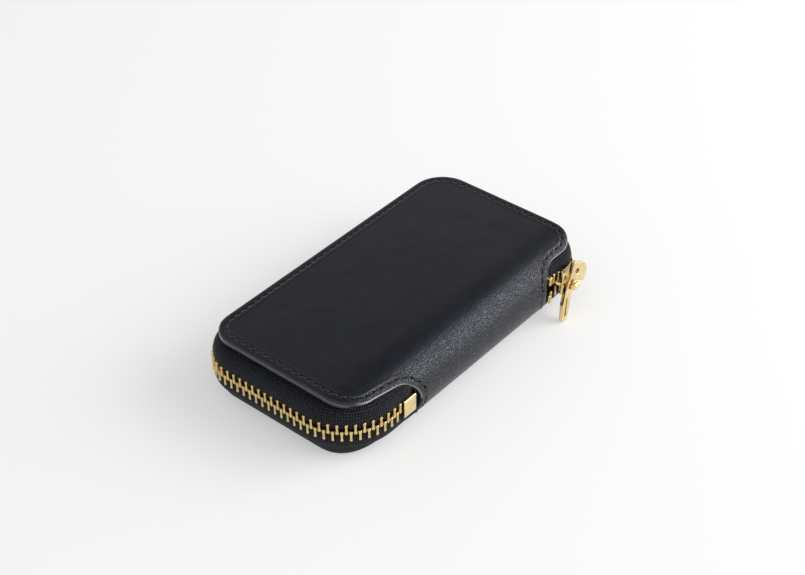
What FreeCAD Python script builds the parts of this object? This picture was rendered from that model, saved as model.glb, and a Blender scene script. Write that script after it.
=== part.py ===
import os
import math
import FreeCAD
import Part
import Sketcher

os.makedirs("parts", exist_ok=True)
doc = FreeCAD.newDocument("KeyCase")
V = FreeCAD.Vector

# Sizes of the key case, in mm and degrees
SIZES = [
    ("cover_length", 106.0),
    ("cover_depth", 55.0),
    ("case_height", 22.0),
    ("corner_radius", 9.7),
    ("spine_bulge", 4.2),
    ("leather_thickness", 1.8),
    ("lining_thickness", 1.4),
    ("strap_width", 57.6),
    ("strap_shift", 3.3),
    ("seam_angle", 45.0),
    ("fold_gap", 0.25),
    ("tape_thickness", 0.6),
    ("tape_margin", 5.0),
    ("tape_bulge", 2.0),
    ("end_swell", 1.3),
    ("end_corner_radius", 17.0),
    ("tape_turn_in", 1.6),
    ("tape_wall_half", 4.6),
    ("tape_edge", 0.9),
    ("tape_end_gap", 0.5),
    ("tape_end_past_strap", 2.2),
    ("tooth_pitch", 2.5),
    ("tooth_depth", 2.3),
    ("tooth_tip_length", 0.5),
    ("tooth_shoulder", 0.62),
    ("tooth_root", 3.0),
    ("tooth_tip_width", 0.72),
    ("tooth_shoulder_width", 1.32),
    ("tooth_leg_width", 1.16),
    ("tooth_slot_width", 0.68),
    ("tooth_slot_floor", 0.8),
    ("row_open_share", 0.22),
    ("row_open_lead", 1.0),
    ("row_open_most", 2.0),
    ("row_open_slack", 0.2),
    ("stop_length", 5.1),
    ("stop_height", 6.1),
    ("stop_depth", 3.2),
    ("stop_jaw", 0.95),
    ("stop_from_strap", 4.0),
    ("stop_tooth_gap", 0.8),
    ("end_clip_width", 1.8),
    ("end_clip_depth", 2.7),
    ("end_clip_height", 2.5),
    ("end_clip_gap", 2.2),
    ("end_clip_from_end", 1.55),
    ("slider_angle", 8.0),
    ("slider_half_length", 5.3),
    ("mouth_half_width", 5.1),
    ("waist_half_width", 4.5),
    ("waist_share", 0.28),
    ("tail_half_width", 3.95),
    ("lip_width", 0.72),
    ("plate_corner", 1.2),
    ("plate_thickness", 1.1),
    ("channel_outer", 1.25),
    ("channel_inner", 2.6),
    ("lip_slot_outer", 0.6),
    ("lip_slot_inner", 2.05),
    ("post_half_width", 0.55),
    ("post_tip_half_width", 0.08),
    ("post_length", 2.6),
    ("crown_from_middle", 2.5),
    ("crown_half_length", 2.7),
    ("crown_opening_half", 1.65),
    ("crown_rise", 4.75),
    ("crown_bar", 1.2),
    ("crown_corner_share", 0.5),
    ("crown_half_width", 0.8),
    ("tab_thickness", 1.6),
    ("tab_gap", 1.6),
    ("tab_lean", 29.0),
    ("tab_twist", 18.0),
    ("tab_neck_half", 0.7),
    ("tab_neck_length", 1.7),
    ("tab_head_half", 2.6),
    ("tab_head_shoulder", 2.5),
    ("tab_head_length", 7.6),
    ("tab_head_corner", 1.9),
    ("tab_tail_half", 2.0),
    ("tab_tail_shoulder", 3.2),
    ("tab_tail_length", 12.2),
    ("tab_tip_half", 0.65),
    ("tab_tip_round", 0.5),
    ("tab_hole_radius", 0.85),
    ("tab_hole_rise", 4.5),
    ("plate_from_end", 8.0),
    ("plate_foot", 7.5),
    ("plate_tape_gap", 3.5),
    ("plate_sheet", 1.0),
    ("plate_rise", 6.4),
    ("hook_pitch_share", 0.4737),
    ("hook_axis_rise", 4.4),
    ("hook_stem_play", 0.08),
    ("hook_stem_radius", 0.9),
    ("hook_head_radius", 1.7),
    ("hook_head_thickness", 0.9),
    ("hook_play", 0.2),
    ("hook_neck", 1.4),
    ("hook_loop_length", 17.0),
    ("hook_loop_share", 0.3889),
    ("hook_wire", 1.4),
    ("hook_slit", 0.6),
    ("hook_slit_sink", 2.1),
    ("hook_corner_share", 0.45),
    ("hook_inner_corner_share", 0.3),
    ("rivet_radius", 0.9),
    ("rivet_head_radius", 1.7),
    ("rivet_head_height", 0.7),
    ("rivet_inset", 2.6),
    ("pocket_length", 58.0),
    ("pocket_depth", 34.0),
    ("pocket_thickness", 1.0),
    ("pocket_corner", 4.0),
    ("thumb_cut_top_share", 0.3),
    ("thumb_cut_foot_share", 0.2),
]
sheet = doc.addObject("Spreadsheet::Sheet", "Sizes")
for row, (name, value) in enumerate(SIZES, start=1):
    sheet.set("A%d" % row, name)
    sheet.set("B%d" % row, str(value))
    sheet.setAlias("B%d" % row, name)
doc.recompute()


def size(name):
    return float(sheet.get(name))


def bind(obj, **terms):
    for prop, term in terms.items():
        obj.setExpression(prop, term)
    return obj


def place(obj, x="0", y="0", z="0", rotation=None):
    if rotation is not None:
        obj.Placement = FreeCAD.Placement(V(0, 0, 0), rotation)
    obj.setExpression("Placement.Base.x", x)
    obj.setExpression("Placement.Base.y", y)
    obj.setExpression("Placement.Base.z", z)
    return obj


def box(name, length, width, height, x, y, z):
    obj = doc.addObject("Part::Box", name)
    bind(obj, Length=length, Width=width, Height=height)
    return place(obj, x, y, z)


def cylinder(name, radius, height, x, y, z, rotation=None, angle=None):
    obj = doc.addObject("Part::Cylinder", name)
    bind(obj, Radius=radius, Height=height)
    if angle:
        bind(obj, Angle=angle)
    return place(obj, x, y, z, rotation)


def cut(name, base, tool):
    obj = doc.addObject("Part::Cut", name)
    obj.Base = base
    obj.Tool = tool
    return obj


def fuse(name, shapes):
    obj = doc.addObject("Part::MultiFuse", name)
    obj.Shapes = shapes
    obj.Refine = True
    return obj


def frame(x_axis, y_axis, z_axis):
    return FreeCAD.Rotation(V(*x_axis), V(*y_axis), V(*z_axis), "ZXY")


def outline(body, name, plane, points, offset=None):
    sketch = body.newObject("Sketcher::SketchObject", name)
    origin = [o for o in body.Origin.OriginFeatures if o.Role == plane][0]
    sketch.AttachmentSupport = (origin, [""])
    sketch.MapMode = "FlatFace"
    if offset:
        sketch.setExpression("AttachmentOffset.Base.z", offset)
    for loop in points:
        trace(sketch, loop)
    return sketch


def trace(sketch, loop):
    count = len(loop)
    first = sketch.GeometryCount
    dummy = []
    for i in range(count):
        turn = math.tau * i / count
        dummy.append(V(math.cos(turn), math.sin(turn), 0))
    for i in range(count):
        sketch.addGeometry(Part.LineSegment(dummy[i], dummy[(i + 1) % count]), False)
    for i in range(count):
        here = first + i
        after = first + (i + 1) % count
        sketch.addConstraint(Sketcher.Constraint("Coincident", here, 2, after, 1))
    for i, (across, along) in enumerate(loop):
        for kind, term, now in (("DistanceX", across, dummy[i].x), ("DistanceY", along, dummy[i].y)):
            at = sketch.addConstraint(Sketcher.Constraint(kind, -1, 1, first + i, 1, now))
            sketch.setExpression("Constraints[%d]" % at, term)


def ring(body, name, plane, x, y, radius, offset=None):
    sketch = body.newObject("Sketcher::SketchObject", name)
    origin = [o for o in body.Origin.OriginFeatures if o.Role == plane][0]
    sketch.AttachmentSupport = (origin, [""])
    sketch.MapMode = "FlatFace"
    if offset:
        sketch.setExpression("AttachmentOffset.Base.z", offset)
    sketch.addGeometry(Part.Circle(V(1, 1, 0), V(0, 0, 1), 1), False)
    for kind, term in (("DistanceX", x), ("DistanceY", y)):
        at = sketch.addConstraint(Sketcher.Constraint(kind, -1, 1, 0, 3, 1.0))
        sketch.setExpression("Constraints[%d]" % at, term)
    at = sketch.addConstraint(Sketcher.Constraint("Radius", 0, 1.0))
    sketch.setExpression("Constraints[%d]" % at, radius)
    return sketch


def pad(body, name, sketch, length):
    obj = body.newObject("PartDesign::Pad", name)
    obj.Profile = sketch
    obj.setExpression("Length", length)
    body.Tip = obj
    return obj


def through(body, name, sketch):
    obj = body.newObject("PartDesign::Pocket", name)
    obj.Profile = sketch
    obj.Type = "ThroughAll"
    obj.Midplane = True
    body.Tip = obj
    return obj


def new_body(name):
    return doc.addObject("PartDesign::Body", name)


S = "Sizes."
HALF_LENGTH = "Sizes.cover_length / 2"
HALF_DEPTH = "Sizes.cover_depth / 2"
MID = "Sizes.case_height / 2"
ROLL_Y = "(Sizes.case_height / 2 - Sizes.cover_depth / 2 - Sizes.spine_bulge)"
EDGE_ANGLE = "asin((Sizes.case_height / 2 - Sizes.spine_bulge) / (Sizes.case_height / 2))"
STRAP_LEFT = "(Sizes.strap_shift - Sizes.strap_width / 2)"
STRAP_RIGHT = "(Sizes.strap_shift + Sizes.strap_width / 2)"

half = size("case_height") / 2
roll_y = half - size("cover_depth") / 2 - size("spine_bulge")
edge_angle = math.asin((half - size("spine_bulge")) / half)
notch = half * math.cos(edge_angle)
NOTCH = "(Sizes.case_height / 2 * cos(%s))" % EDGE_ANGLE
ROOT_LEFT = "(%s - %s)" % (STRAP_LEFT, NOTCH)
ROOT_RIGHT = "(%s + %s)" % (STRAP_RIGHT, NOTCH)
strap_left = size("strap_shift") - size("strap_width") / 2
strap_right = size("strap_shift") + size("strap_width") / 2
root_left = strap_left - notch
root_right = strap_right + notch

TOP_ROLL = frame((0, 0, 1), (0, -1, 0), (1, 0, 0))
BOTTOM_ROLL = frame((0, 0, -1), (0, -1, 0), (-1, 0, 0))
ACROSS = frame((1, 0, 0), (0, 0, -1), (0, 1, 0))


def sector(name, outer, inner, left, right, angle, kind, start=None):
    length = "%s - %s" % (right, left)
    if kind == "top":
        turn, x = TOP_ROLL, left
    elif kind == "bottom":
        turn, x = BOTTOM_ROLL, right
    else:
        turn, x = start, left
    big = cylinder(name + "_out", outer, length, x, ROLL_Y, MID, turn, angle)
    small = cylinder(name + "_in", inner, length, x, ROLL_Y, MID, turn, "360")
    return cut(name, big, small)


def corner_cutters(name):
    tools = []
    for i, (sx, sy) in enumerate(((1, 1), (-1, 1), (-1, -1), (1, -1))):
        cx = "%d * (Sizes.cover_length / 2 - Sizes.corner_radius)" % sx
        cy = "%d * (Sizes.cover_depth / 2 - Sizes.corner_radius)" % sy
        bx = cx if sx > 0 else "-Sizes.cover_length / 2 - Sizes.corner_radius"
        by = cy if sy > 0 else "-Sizes.cover_depth / 2 - Sizes.corner_radius"
        side = "2 * Sizes.corner_radius"
        block = box("%s_block%d" % (name, i), side, side, "Sizes.case_height", bx, by, "0")
        post = cylinder("%s_post%d" % (name, i), "Sizes.corner_radius", "Sizes.case_height", cx, cy, "0")
        tools.append(cut("%s_waste%d" % (name, i), block, post))
    return fuse(name, tools)


def notch_cutters(name):
    tools = []
    for i, x in enumerate((ROOT_LEFT, ROOT_RIGHT)):
        y = "%s - Sizes.case_height" % ROLL_Y
        tools.append(cylinder("%s%d" % (name, i), NOTCH, "Sizes.case_height", x, y, MID, ACROSS))
    return fuse(name, tools)


# Covers: a flat panel, rolled along its front edge toward the spine
corners = corner_cutters("corner_waste")
notches = notch_cutters("notch_waste")
OUTER = MID
LAYER = "(Sizes.case_height / 2 - Sizes.leather_thickness)"
INNER = "(Sizes.case_height / 2 - Sizes.leather_thickness - Sizes.lining_thickness)"
PANEL_DEPTH = "Sizes.cover_depth / 2 - %s" % ROLL_Y


def cover(name, kind, outer, inner, thickness, z):
    left, right = "(-%s)" % HALF_LENGTH, "(%s)" % HALF_LENGTH
    panel = box(name + "_panel", "Sizes.cover_length", PANEL_DEPTH, thickness, left, ROLL_Y, z)
    ears = sector(name + "_ears", outer, inner, left, right, EDGE_ANGLE, kind)
    root = sector(name + "_root", outer, inner, ROOT_LEFT, ROOT_RIGHT, "Sizes.seam_angle", kind)
    shaped = cut(name + "_shaped", root, notches)
    whole = fuse(name + "_whole", [panel, ears, shaped])
    return cut(name, whole, corners)


bottom_cover = cover("bottom_cover", "bottom", OUTER, LAYER, "Sizes.leather_thickness", "0")
top_cover = cover("top_cover", "top", OUTER, LAYER, "Sizes.leather_thickness",
                  "Sizes.case_height - Sizes.leather_thickness")
bottom_layer = cover("bottom_layer", "bottom", LAYER, INNER, "Sizes.lining_thickness",
                     "Sizes.leather_thickness")
top_lining = cover("top_lining", "top", LAYER, INNER, "Sizes.lining_thickness",
                   "Sizes.case_height - Sizes.leather_thickness - Sizes.lining_thickness")

# Spine strap: the middle of the roll, with a round notch at each end
gap_turn = size("fold_gap") / half
start_turn = math.radians(size("seam_angle")) + gap_turn
STRAP_ROLL = frame((0, -math.sin(start_turn), math.cos(start_turn)),
                   (0, -math.cos(start_turn), -math.sin(start_turn)), (1, 0, 0))
STRAP_ANGLE = "180 - 2 * Sizes.seam_angle - 2 * Sizes.fold_gap / (Sizes.case_height / 2) * 180 / pi"


def strap(name, outer, inner):
    band = sector(name + "_band", outer, inner, ROOT_LEFT, ROOT_RIGHT, STRAP_ANGLE, "strap", STRAP_ROLL)
    return cut(name, band, notches)


spine_strap = strap("spine_strap", OUTER, LAYER)
spine_lining = strap("spine_lining", LAYER, INNER)

# Key plate: an angle of sheet brass on the lining, with four holes for the hooks
FLOOR = "(Sizes.leather_thickness + Sizes.lining_thickness)"
FOOT_X = "(Sizes.plate_from_end - Sizes.cover_length / 2)"
HALF_SPAN = "(Sizes.cover_depth / 2 - Sizes.tape_margin - Sizes.plate_tape_gap)"
WEB_X = "(Sizes.plate_from_end + Sizes.plate_foot - Sizes.cover_length / 2)"
plate_body = new_body("key_plate_sheet")
angle_profile = outline(plate_body, "key_plate_profile", "XZ_Plane", [[
    (FOOT_X, FLOOR),
    (WEB_X, FLOOR),
    (WEB_X, FLOOR + " + Sizes.plate_rise"),
    (WEB_X + " - Sizes.plate_sheet", FLOOR + " + Sizes.plate_rise"),
    (WEB_X + " - Sizes.plate_sheet", FLOOR + " + Sizes.plate_sheet"),
    (FOOT_X, FLOOR + " + Sizes.plate_sheet"),
]], "-" + HALF_SPAN)
pad(plate_body, "key_plate_pad", angle_profile, "2 * " + HALF_SPAN)
HOOK_Z = FLOOR + " + Sizes.hook_axis_rise"
ALONG = frame((0, 1, 0), (0, 0, 1), (1, 0, 0))
HOOK_PITCH = "(%s * Sizes.hook_pitch_share)" % HALF_SPAN
HOOK_RADIUS = "Sizes.hook_stem_radius + Sizes.hook_stem_play"
hook_ys = ["%s * %s" % (share, HOOK_PITCH) for share in ("-1.5", "-0.5", "0.5", "1.5")]
hole_tools = []
for i, y in enumerate(hook_ys):
    x = WEB_X + " - 2 * Sizes.plate_sheet"
    hole = cylinder("hook_hole%d" % i, HOOK_RADIUS, "4 * Sizes.plate_sheet", x, y, HOOK_Z, ALONG)
    hole_tools.append(hole)
RIVET_X = "(%s + Sizes.rivet_inset)" % FOOT_X
rivet_ys = ["%s - Sizes.rivet_inset" % HALF_SPAN, "Sizes.rivet_inset - " + HALF_SPAN]
shanks = []
for i, y in enumerate(rivet_ys):
    rise = "Sizes.lining_thickness + Sizes.plate_sheet"
    shanks.append(cylinder("rivet_shank%d" % i, "Sizes.rivet_radius", rise, RIVET_X, y,
                           "Sizes.leather_thickness"))
shank_pair = fuse("rivet_shanks", shanks)
key_plate = cut("key_plate", plate_body, fuse("key_plate_holes", hole_tools + [shank_pair]))
bottom_lining = cut("bottom_lining", bottom_layer, shank_pair)
rivets = []
for i, y in enumerate(rivet_ys):
    head = cylinder("rivet_head%d" % i, "Sizes.rivet_head_radius", "Sizes.rivet_head_height",
                    RIVET_X, y, FLOOR + " + Sizes.plate_sheet")
    rivets.append(fuse("key_rivet_%d" % (i + 1), [shanks[i], head]))

# Slip pocket on the inside of the top cover
CEILING = "(Sizes.case_height - Sizes.leather_thickness - Sizes.lining_thickness)"
pocket_body = new_body("card_pocket")
PX, PY, PC = "Sizes.pocket_length / 2", "Sizes.pocket_depth / 2", "Sizes.pocket_corner"
pocket_outline = outline(pocket_body, "card_pocket_outline", "XY_Plane", [[
    ("-" + PX, PY),
    ("-%s" % PX, "%s - %s" % (PC, PY)),
    ("%s - %s" % (PC, PX), "-" + PY),
    ("%s - %s" % (PX, PC), "-" + PY),
    (PX, "%s - %s" % (PC, PY)),
    (PX, PY),
    ("%s * Sizes.thumb_cut_top_share" % PX, PY),
    ("%s * Sizes.thumb_cut_foot_share" % PX, "%s - %s" % (PY, PC)),
    ("-%s * Sizes.thumb_cut_foot_share" % PX, "%s - %s" % (PY, PC)),
    ("-%s * Sizes.thumb_cut_top_share" % PX, PY),
]], "%s - Sizes.pocket_thickness" % CEILING)
pad(pocket_body, "card_pocket_pad", pocket_outline, "Sizes.pocket_thickness")

# Key hooks: a turning stem headed over behind the plate, and a flat loop with a spring slit
hooks = []
STEM_X = "(%s - Sizes.plate_sheet - Sizes.hook_play - Sizes.hook_head_thickness)" % WEB_X
LOOP_X = "(%s + Sizes.hook_neck)" % WEB_X
for i, y in enumerate(hook_ys):
    tag = "key_hook_%d" % (i + 1)
    loop_body = new_body(tag + "_loop")
    r, w = "(%s * Sizes.hook_loop_share)" % HOOK_PITCH, "Sizes.hook_wire"
    end = "%s + Sizes.hook_loop_length" % LOOP_X
    c = "(%s * Sizes.hook_corner_share)" % r
    d = "(%s * Sizes.hook_inner_corner_share)" % r
    outer_loop = [
        (LOOP_X, "%s + %s - %s" % (y, c, r)),
        ("%s + %s" % (LOOP_X, c), "%s - %s" % (y, r)),
        ("%s - %s" % (end, c), "%s - %s" % (y, r)),
        (end, "%s + %s - %s" % (y, c, r)),
        (end, "%s + %s - %s" % (y, r, c)),
        ("%s - %s" % (end, c), "%s + %s" % (y, r)),
        ("%s + %s" % (LOOP_X, c), "%s + %s" % (y, r)),
        (LOOP_X, "%s + %s - %s" % (y, r, c)),
    ]
    inner_loop = [
        ("%s + %s" % (LOOP_X, w), "%s + %s + %s - %s" % (y, w, d, r)),
        ("%s + %s + %s" % (LOOP_X, w, d), "%s + %s - %s" % (y, w, r)),
        ("%s - %s - %s" % (end, w, d), "%s + %s - %s" % (y, w, r)),
        ("%s - %s" % (end, w), "%s + %s + %s - %s" % (y, w, d, r)),
        ("%s - %s" % (end, w), "%s + %s - %s - %s" % (y, r, w, d)),
        ("%s - %s - %s" % (end, w, d), "%s + %s - %s" % (y, r, w)),
        ("%s + %s + %s" % (LOOP_X, w, d), "%s + %s - %s" % (y, r, w)),
        ("%s + %s" % (LOOP_X, w), "%s + %s - %s - %s" % (y, r, w, d)),
    ]
    loops = outline(loop_body, tag + "_outline", "XY_Plane", [outer_loop, inner_loop],
                    "%s - Sizes.hook_wire / 2" % HOOK_Z)
    pad(loop_body, tag + "_pad", loops, w)
    stem_length = "%s - %s + Sizes.hook_wire / 2" % (LOOP_X, STEM_X)
    stem = cylinder(tag + "_stem", "Sizes.hook_stem_radius", stem_length, STEM_X, y, HOOK_Z, ALONG)
    head = cylinder(tag + "_head", "Sizes.hook_head_radius", "Sizes.hook_head_thickness",
                    STEM_X, y, HOOK_Z, ALONG)
    whole = fuse(tag + "_whole", [loop_body, stem, head])
    slit = box(tag + "_slit", "Sizes.hook_slit", "2 * Sizes.hook_wire", "2 * Sizes.hook_wire",
               "%s + 2 * Sizes.hook_wire" % LOOP_X, "%s + %s - Sizes.hook_slit_sink" % (y, r),
               "%s - Sizes.hook_wire" % HOOK_Z)
    hooks.append(cut(tag, whole, slit))

# Slider: two plates joined by a post, with lips that leave a slot for each tape
angle = math.radians(size("slider_angle"))
chain_radius = size("corner_radius") + size("tape_bulge")
corner_x = size("cover_length") / 2 - size("corner_radius")
corner_y = size("corner_radius") - size("cover_depth") / 2
slider_at = V(corner_x + chain_radius * math.sin(angle), corner_y - chain_radius * math.cos(angle), half)
slider_turn = FreeCAD.Rotation(V(0, 0, 1), size("slider_angle"))
slider_body = new_body("slider_body")
slider_body.Placement = FreeCAD.Placement(slider_at, slider_turn)
U, M, W, T = S + "slider_half_length", S + "mouth_half_width", S + "waist_half_width", S + "tail_half_width"
C, L = S + "plate_corner", S + "lip_width"
BACK = "-(Sizes.channel_inner + Sizes.plate_thickness)"
post_outline = outline(slider_body, "slider_post_outline", "XZ_Plane", [[
    ("-" + U, "-Sizes.post_half_width"),
    ("Sizes.post_length - " + U, "-Sizes.post_tip_half_width"),
    ("Sizes.post_length - " + U, "Sizes.post_tip_half_width"),
    ("-" + U, "Sizes.post_half_width"),
]], BACK)
pad(slider_body, "slider_post", post_outline,
    "Sizes.channel_inner + Sizes.channel_outer + 2 * Sizes.plate_thickness")
plate_points = [
    ("-" + U, "%s - %s" % (C, M)),
    ("%s - %s" % (C, U), "-" + M),
    ("-Sizes.waist_share * " + U, "-" + W),
    ("%s - %s" % (U, C), "-" + T),
    (U, "%s - %s" % (C, T)),
    (U, "%s - %s" % (T, C)),
    ("%s - %s" % (U, C), T),
    ("-Sizes.waist_share * " + U, W),
    ("%s - %s" % (C, U), M),
    ("-" + U, "%s - %s" % (M, C)),
]
for side, offset in (("outer", "Sizes.channel_outer"), ("inner", BACK)):
    plate = outline(slider_body, "slider_%s_outline" % side, "XZ_Plane", [plate_points], offset)
    pad(slider_body, "slider_%s_plate" % side, plate, "Sizes.plate_thickness")
lip_points = []
for sign in ("", "-"):
    strip = [
        ("%s - %s" % (C, U), "%s(%s)" % (sign, M)),
        ("%s - %s" % (C, U), "%s(%s - %s)" % (sign, M, L)),
        ("-Sizes.waist_share * " + U, "%s(%s - %s)" % (sign, W, L)),
        ("%s - %s" % (U, C), "%s(%s - %s)" % (sign, T, L)),
        ("%s - %s" % (U, C), "%s(%s)" % (sign, T)),
        ("-Sizes.waist_share * " + U, "%s(%s)" % (sign, W)),
    ]
    lip_points.append(strip)
lips = outline(slider_body, "slider_outer_lip_outline", "XZ_Plane", lip_points, "Sizes.lip_slot_outer")
pad(slider_body, "slider_outer_lips", lips, "Sizes.channel_outer - Sizes.lip_slot_outer")
lips = outline(slider_body, "slider_inner_lip_outline", "XZ_Plane", lip_points, "-Sizes.channel_inner")
pad(slider_body, "slider_inner_lips", lips, "Sizes.channel_inner - Sizes.lip_slot_inner")

# Slider crown: a bridge over the outer plate that the pull tab hangs through
slider_crown = new_body("slider_crown")
along = V(math.cos(angle), math.sin(angle), 0)
crown_at = slider_at - along * size("crown_from_middle")
slider_crown.Placement = FreeCAD.Placement(crown_at, slider_turn)
FACE = "(Sizes.channel_outer + Sizes.plate_thickness)"
A, B = S + "crown_half_length", S + "crown_opening_half"
TOPSIDE = "(%s + Sizes.crown_rise)" % FACE
K = "(Sizes.crown_corner_share * Sizes.crown_bar)"
bridge = outline(slider_crown, "slider_crown_outline", "XY_Plane", [[
    ("-" + A, "-" + FACE),
    ("-" + A, "%s - %s" % (K, TOPSIDE)),
    ("%s - %s" % (K, A), "-" + TOPSIDE),
    ("%s - %s" % (A, K), "-" + TOPSIDE),
    (A, "%s - %s" % (K, TOPSIDE)),
    (A, "-" + FACE),
    (B, "-" + FACE),
    (B, "Sizes.crown_bar - " + TOPSIDE),
    ("-" + B, "Sizes.crown_bar - " + TOPSIDE),
    ("-" + B, "-" + FACE),
]], "-Sizes.crown_half_width")
pad(slider_crown, "slider_crown_pad", bridge, "2 * Sizes.crown_half_width")

# Pull tab: hangs through the crown with its wide head above it and its tail down to the table
tab_out = size("channel_outer") + size("plate_thickness") + size("tab_gap") + size("tab_thickness") / 2
outward = V(math.sin(angle), -math.cos(angle), 0)
lean = FreeCAD.Rotation(V(0, 1, 0), size("tab_lean"))
pull_tab = new_body("pull_tab")
twist = FreeCAD.Rotation(V(0, 0, 1), -size("tab_twist"))
hang = slider_turn.multiply(lean).multiply(twist)
pull_tab.Placement = FreeCAD.Placement(crown_at + outward * tab_out, hang)
N, NR = S + "tab_neck_half", S + "tab_neck_length"
H, HS, HL, HC = S + "tab_head_half", S + "tab_head_shoulder", S + "tab_head_length", S + "tab_head_corner"
TT, TS, TL = S + "tab_tail_half", S + "tab_tail_shoulder", S + "tab_tail_length"
P, PR = S + "tab_tip_half", S + "tab_tip_round"
right_side = [
    ("%s - %s" % (P, PR), "-" + TL),
    (P, "%s - %s" % (PR, TL)),
    (TT, "-" + TS),
    (N, "-" + NR),
    (N, NR),
    (H, HS),
    (H, "%s - %s" % (HL, HC)),
    ("%s - %s" % (H, HC), HL),
]
left_side = [("-(%s)" % x, z) for x, z in reversed(right_side)]
tab_outline = outline(pull_tab, "pull_tab_outline", "XZ_Plane", [right_side + left_side],
                      "-Sizes.tab_thickness / 2")
pad(pull_tab, "pull_tab_pad", tab_outline, "Sizes.tab_thickness")
hole = ring(pull_tab, "pull_tab_hole_outline", "XZ_Plane", "0", S + "tab_hole_rise", S + "tab_hole_radius")
through(pull_tab, "pull_tab_hole", hole)

# Zip path: a line round the case, with its start at the bottom stop and its end by the slider
front_y = -size("cover_depth") / 2 - size("tape_bulge")
back_y = -front_y
side_x = size("cover_length") / 2 + size("tape_bulge")
begin_x = strap_left - size("tape_end_past_strap")
finish_x = strap_right + size("tape_end_past_strap")
end_radius = size("end_corner_radius")
end_x = side_x + size("end_swell")
end_corner_x = end_x - end_radius
end_corner_y = back_y - end_radius
quarter = math.pi / 2
legs = [
    ("line", begin_x + end_corner_x, V(begin_x, front_y, 0), V(-1, 0, 0), 0),
    ("arc", quarter * end_radius, V(-end_corner_x, -end_corner_y, 0), -90.0, end_radius),
    ("line", 2 * end_corner_y, V(-end_x, -end_corner_y, 0), V(0, 1, 0), 0),
    ("arc", quarter * end_radius, V(-end_corner_x, end_corner_y, 0), 180.0, end_radius),
    ("line", end_corner_x + corner_x, V(-end_corner_x, back_y, 0), V(1, 0, 0), 0),
    ("arc", quarter * chain_radius, V(corner_x, -corner_y, 0), 90.0, chain_radius),
    ("line", -2 * corner_y, V(side_x, -corner_y, 0), V(0, -1, 0), 0),
    ("arc", quarter * chain_radius, V(corner_x, corner_y, 0), 0.0, chain_radius),
    ("line", corner_x - finish_x, V(corner_x, front_y, 0), V(-1, 0, 0), 0),
]
path_length = sum(leg[1] for leg in legs)


def at_path(s):
    for leg in legs:
        kind, length, start, way, radius = leg
        if s <= length or leg is legs[-1]:
            break
        s -= length
    if kind == "line":
        return start + way * s, V(-way.y, way.x, 0)
    turn = math.radians(way) - s / radius
    out = V(math.cos(turn), math.sin(turn), 0)
    return start + out * radius, out


slider_s = path_length - (corner_x - finish_x) - angle * chain_radius


def opening(s):
    past = s - slider_s + size("row_open_lead")
    return min(max(past, 0.0) * size("row_open_share"), size("row_open_most"))


# Zip tapes: a folded strip swept round the path, sewn flat under each cover
def thick_strip(points, thickness):
    sides = ([], [])
    for i, p in enumerate(points):
        before = (p - points[i - 1]).normalize() if i else None
        after = (points[i + 1] - p).normalize() if i + 1 < len(points) else None
        way = (before or after) + (after or before)
        way.normalize()
        side = V(0, -way.z, way.y)
        reach = thickness / 2 / (way * (before or after))
        sides[0].append(p + side * reach)
        sides[1].append(p - side * reach)
    return sides[0] + sides[1][::-1]


def sweep_strip(points):
    solids = []
    for kind, length, start, way, radius in legs:
        if kind == "line":
            out = V(-way.y, way.x, 0)
            ring_points = [start + out * p.y + V(0, 0, p.z) for p in points]
            face = Part.Face(Part.makePolygon(ring_points + ring_points[:1]))
            solids.append(face.extrude(way * length))
        else:
            turn = math.radians(way)
            out = V(math.cos(turn), math.sin(turn), 0)
            ring_points = [start + out * (radius + p.y) + V(0, 0, p.z) for p in points]
            face = Part.Face(Part.makePolygon(ring_points + ring_points[:1]))
            solids.append(face.revolve(start, V(0, 0, 1), -90))
    whole = solids[0].fuse(solids[1:])
    return whole.removeSplitter()


def opening_wedge(sign):
    edge = size("tape_edge") + size("row_open_slack")
    most = size("row_open_most")
    x0 = slider_at.x + size("row_open_lead")
    x1 = x0 - most / size("row_open_share")
    x2 = strap_right - size("case_height")
    low = size("tape_edge") + size("tape_edge")
    deep = V(0, size("case_height"), 0)
    y = front_y - half
    points = [
        V(x0, y, half - sign * low),
        V(x0, y, half + sign * edge),
        V(x1, y, half + sign * (edge + most)),
        V(x2, y, half + sign * (edge + most)),
        V(x2, y, half - sign * low),
    ]
    return Part.Face(Part.makePolygon(points + points[:1])).extrude(deep)


def strap_keep_out():
    gap = size("tape_end_gap")
    y = roll_y - size("case_height")
    block = Part.makeBox(root_right - root_left, size("case_height"), size("case_height"),
                         V(root_left, y, 0))
    for x in (root_left, root_right):
        tool = Part.makeCylinder(notch - gap, size("case_height") * 2, V(x, y - half, half), V(0, 1, 0))
        block = block.cut(tool)
    return block


doc.recompute()
keep_out = strap_keep_out()


def tape(name, sign, parts):
    flat = half - size("leather_thickness") - size("lining_thickness") - size("tape_thickness") / 2
    bulge = size("tape_bulge")
    wall = size("tape_wall_half")
    strip = thick_strip([
        V(0, -bulge - size("tape_margin"), half + sign * flat),
        V(0, -bulge - size("tape_turn_in"), half + sign * flat),
        V(0, 0, half + sign * wall),
        V(0, 0, half + sign * size("tape_edge")),
    ], size("tape_thickness"))
    shape = sweep_strip(strip)
    shape = shape.cut(opening_wedge(sign))
    shape = shape.cut(keep_out)
    for other in parts:
        shape = shape.cut(other.Shape)
    solids = sorted(shape.Solids, key=lambda solid: solid.Volume)
    obj = doc.addObject("Part::Feature", name)
    obj.Shape = solids[-1]
    return obj


upper_tape = tape("upper_tape", 1, [top_cover, top_lining])
lower_tape = tape("lower_tape", -1, [bottom_cover, bottom_lining])

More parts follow.
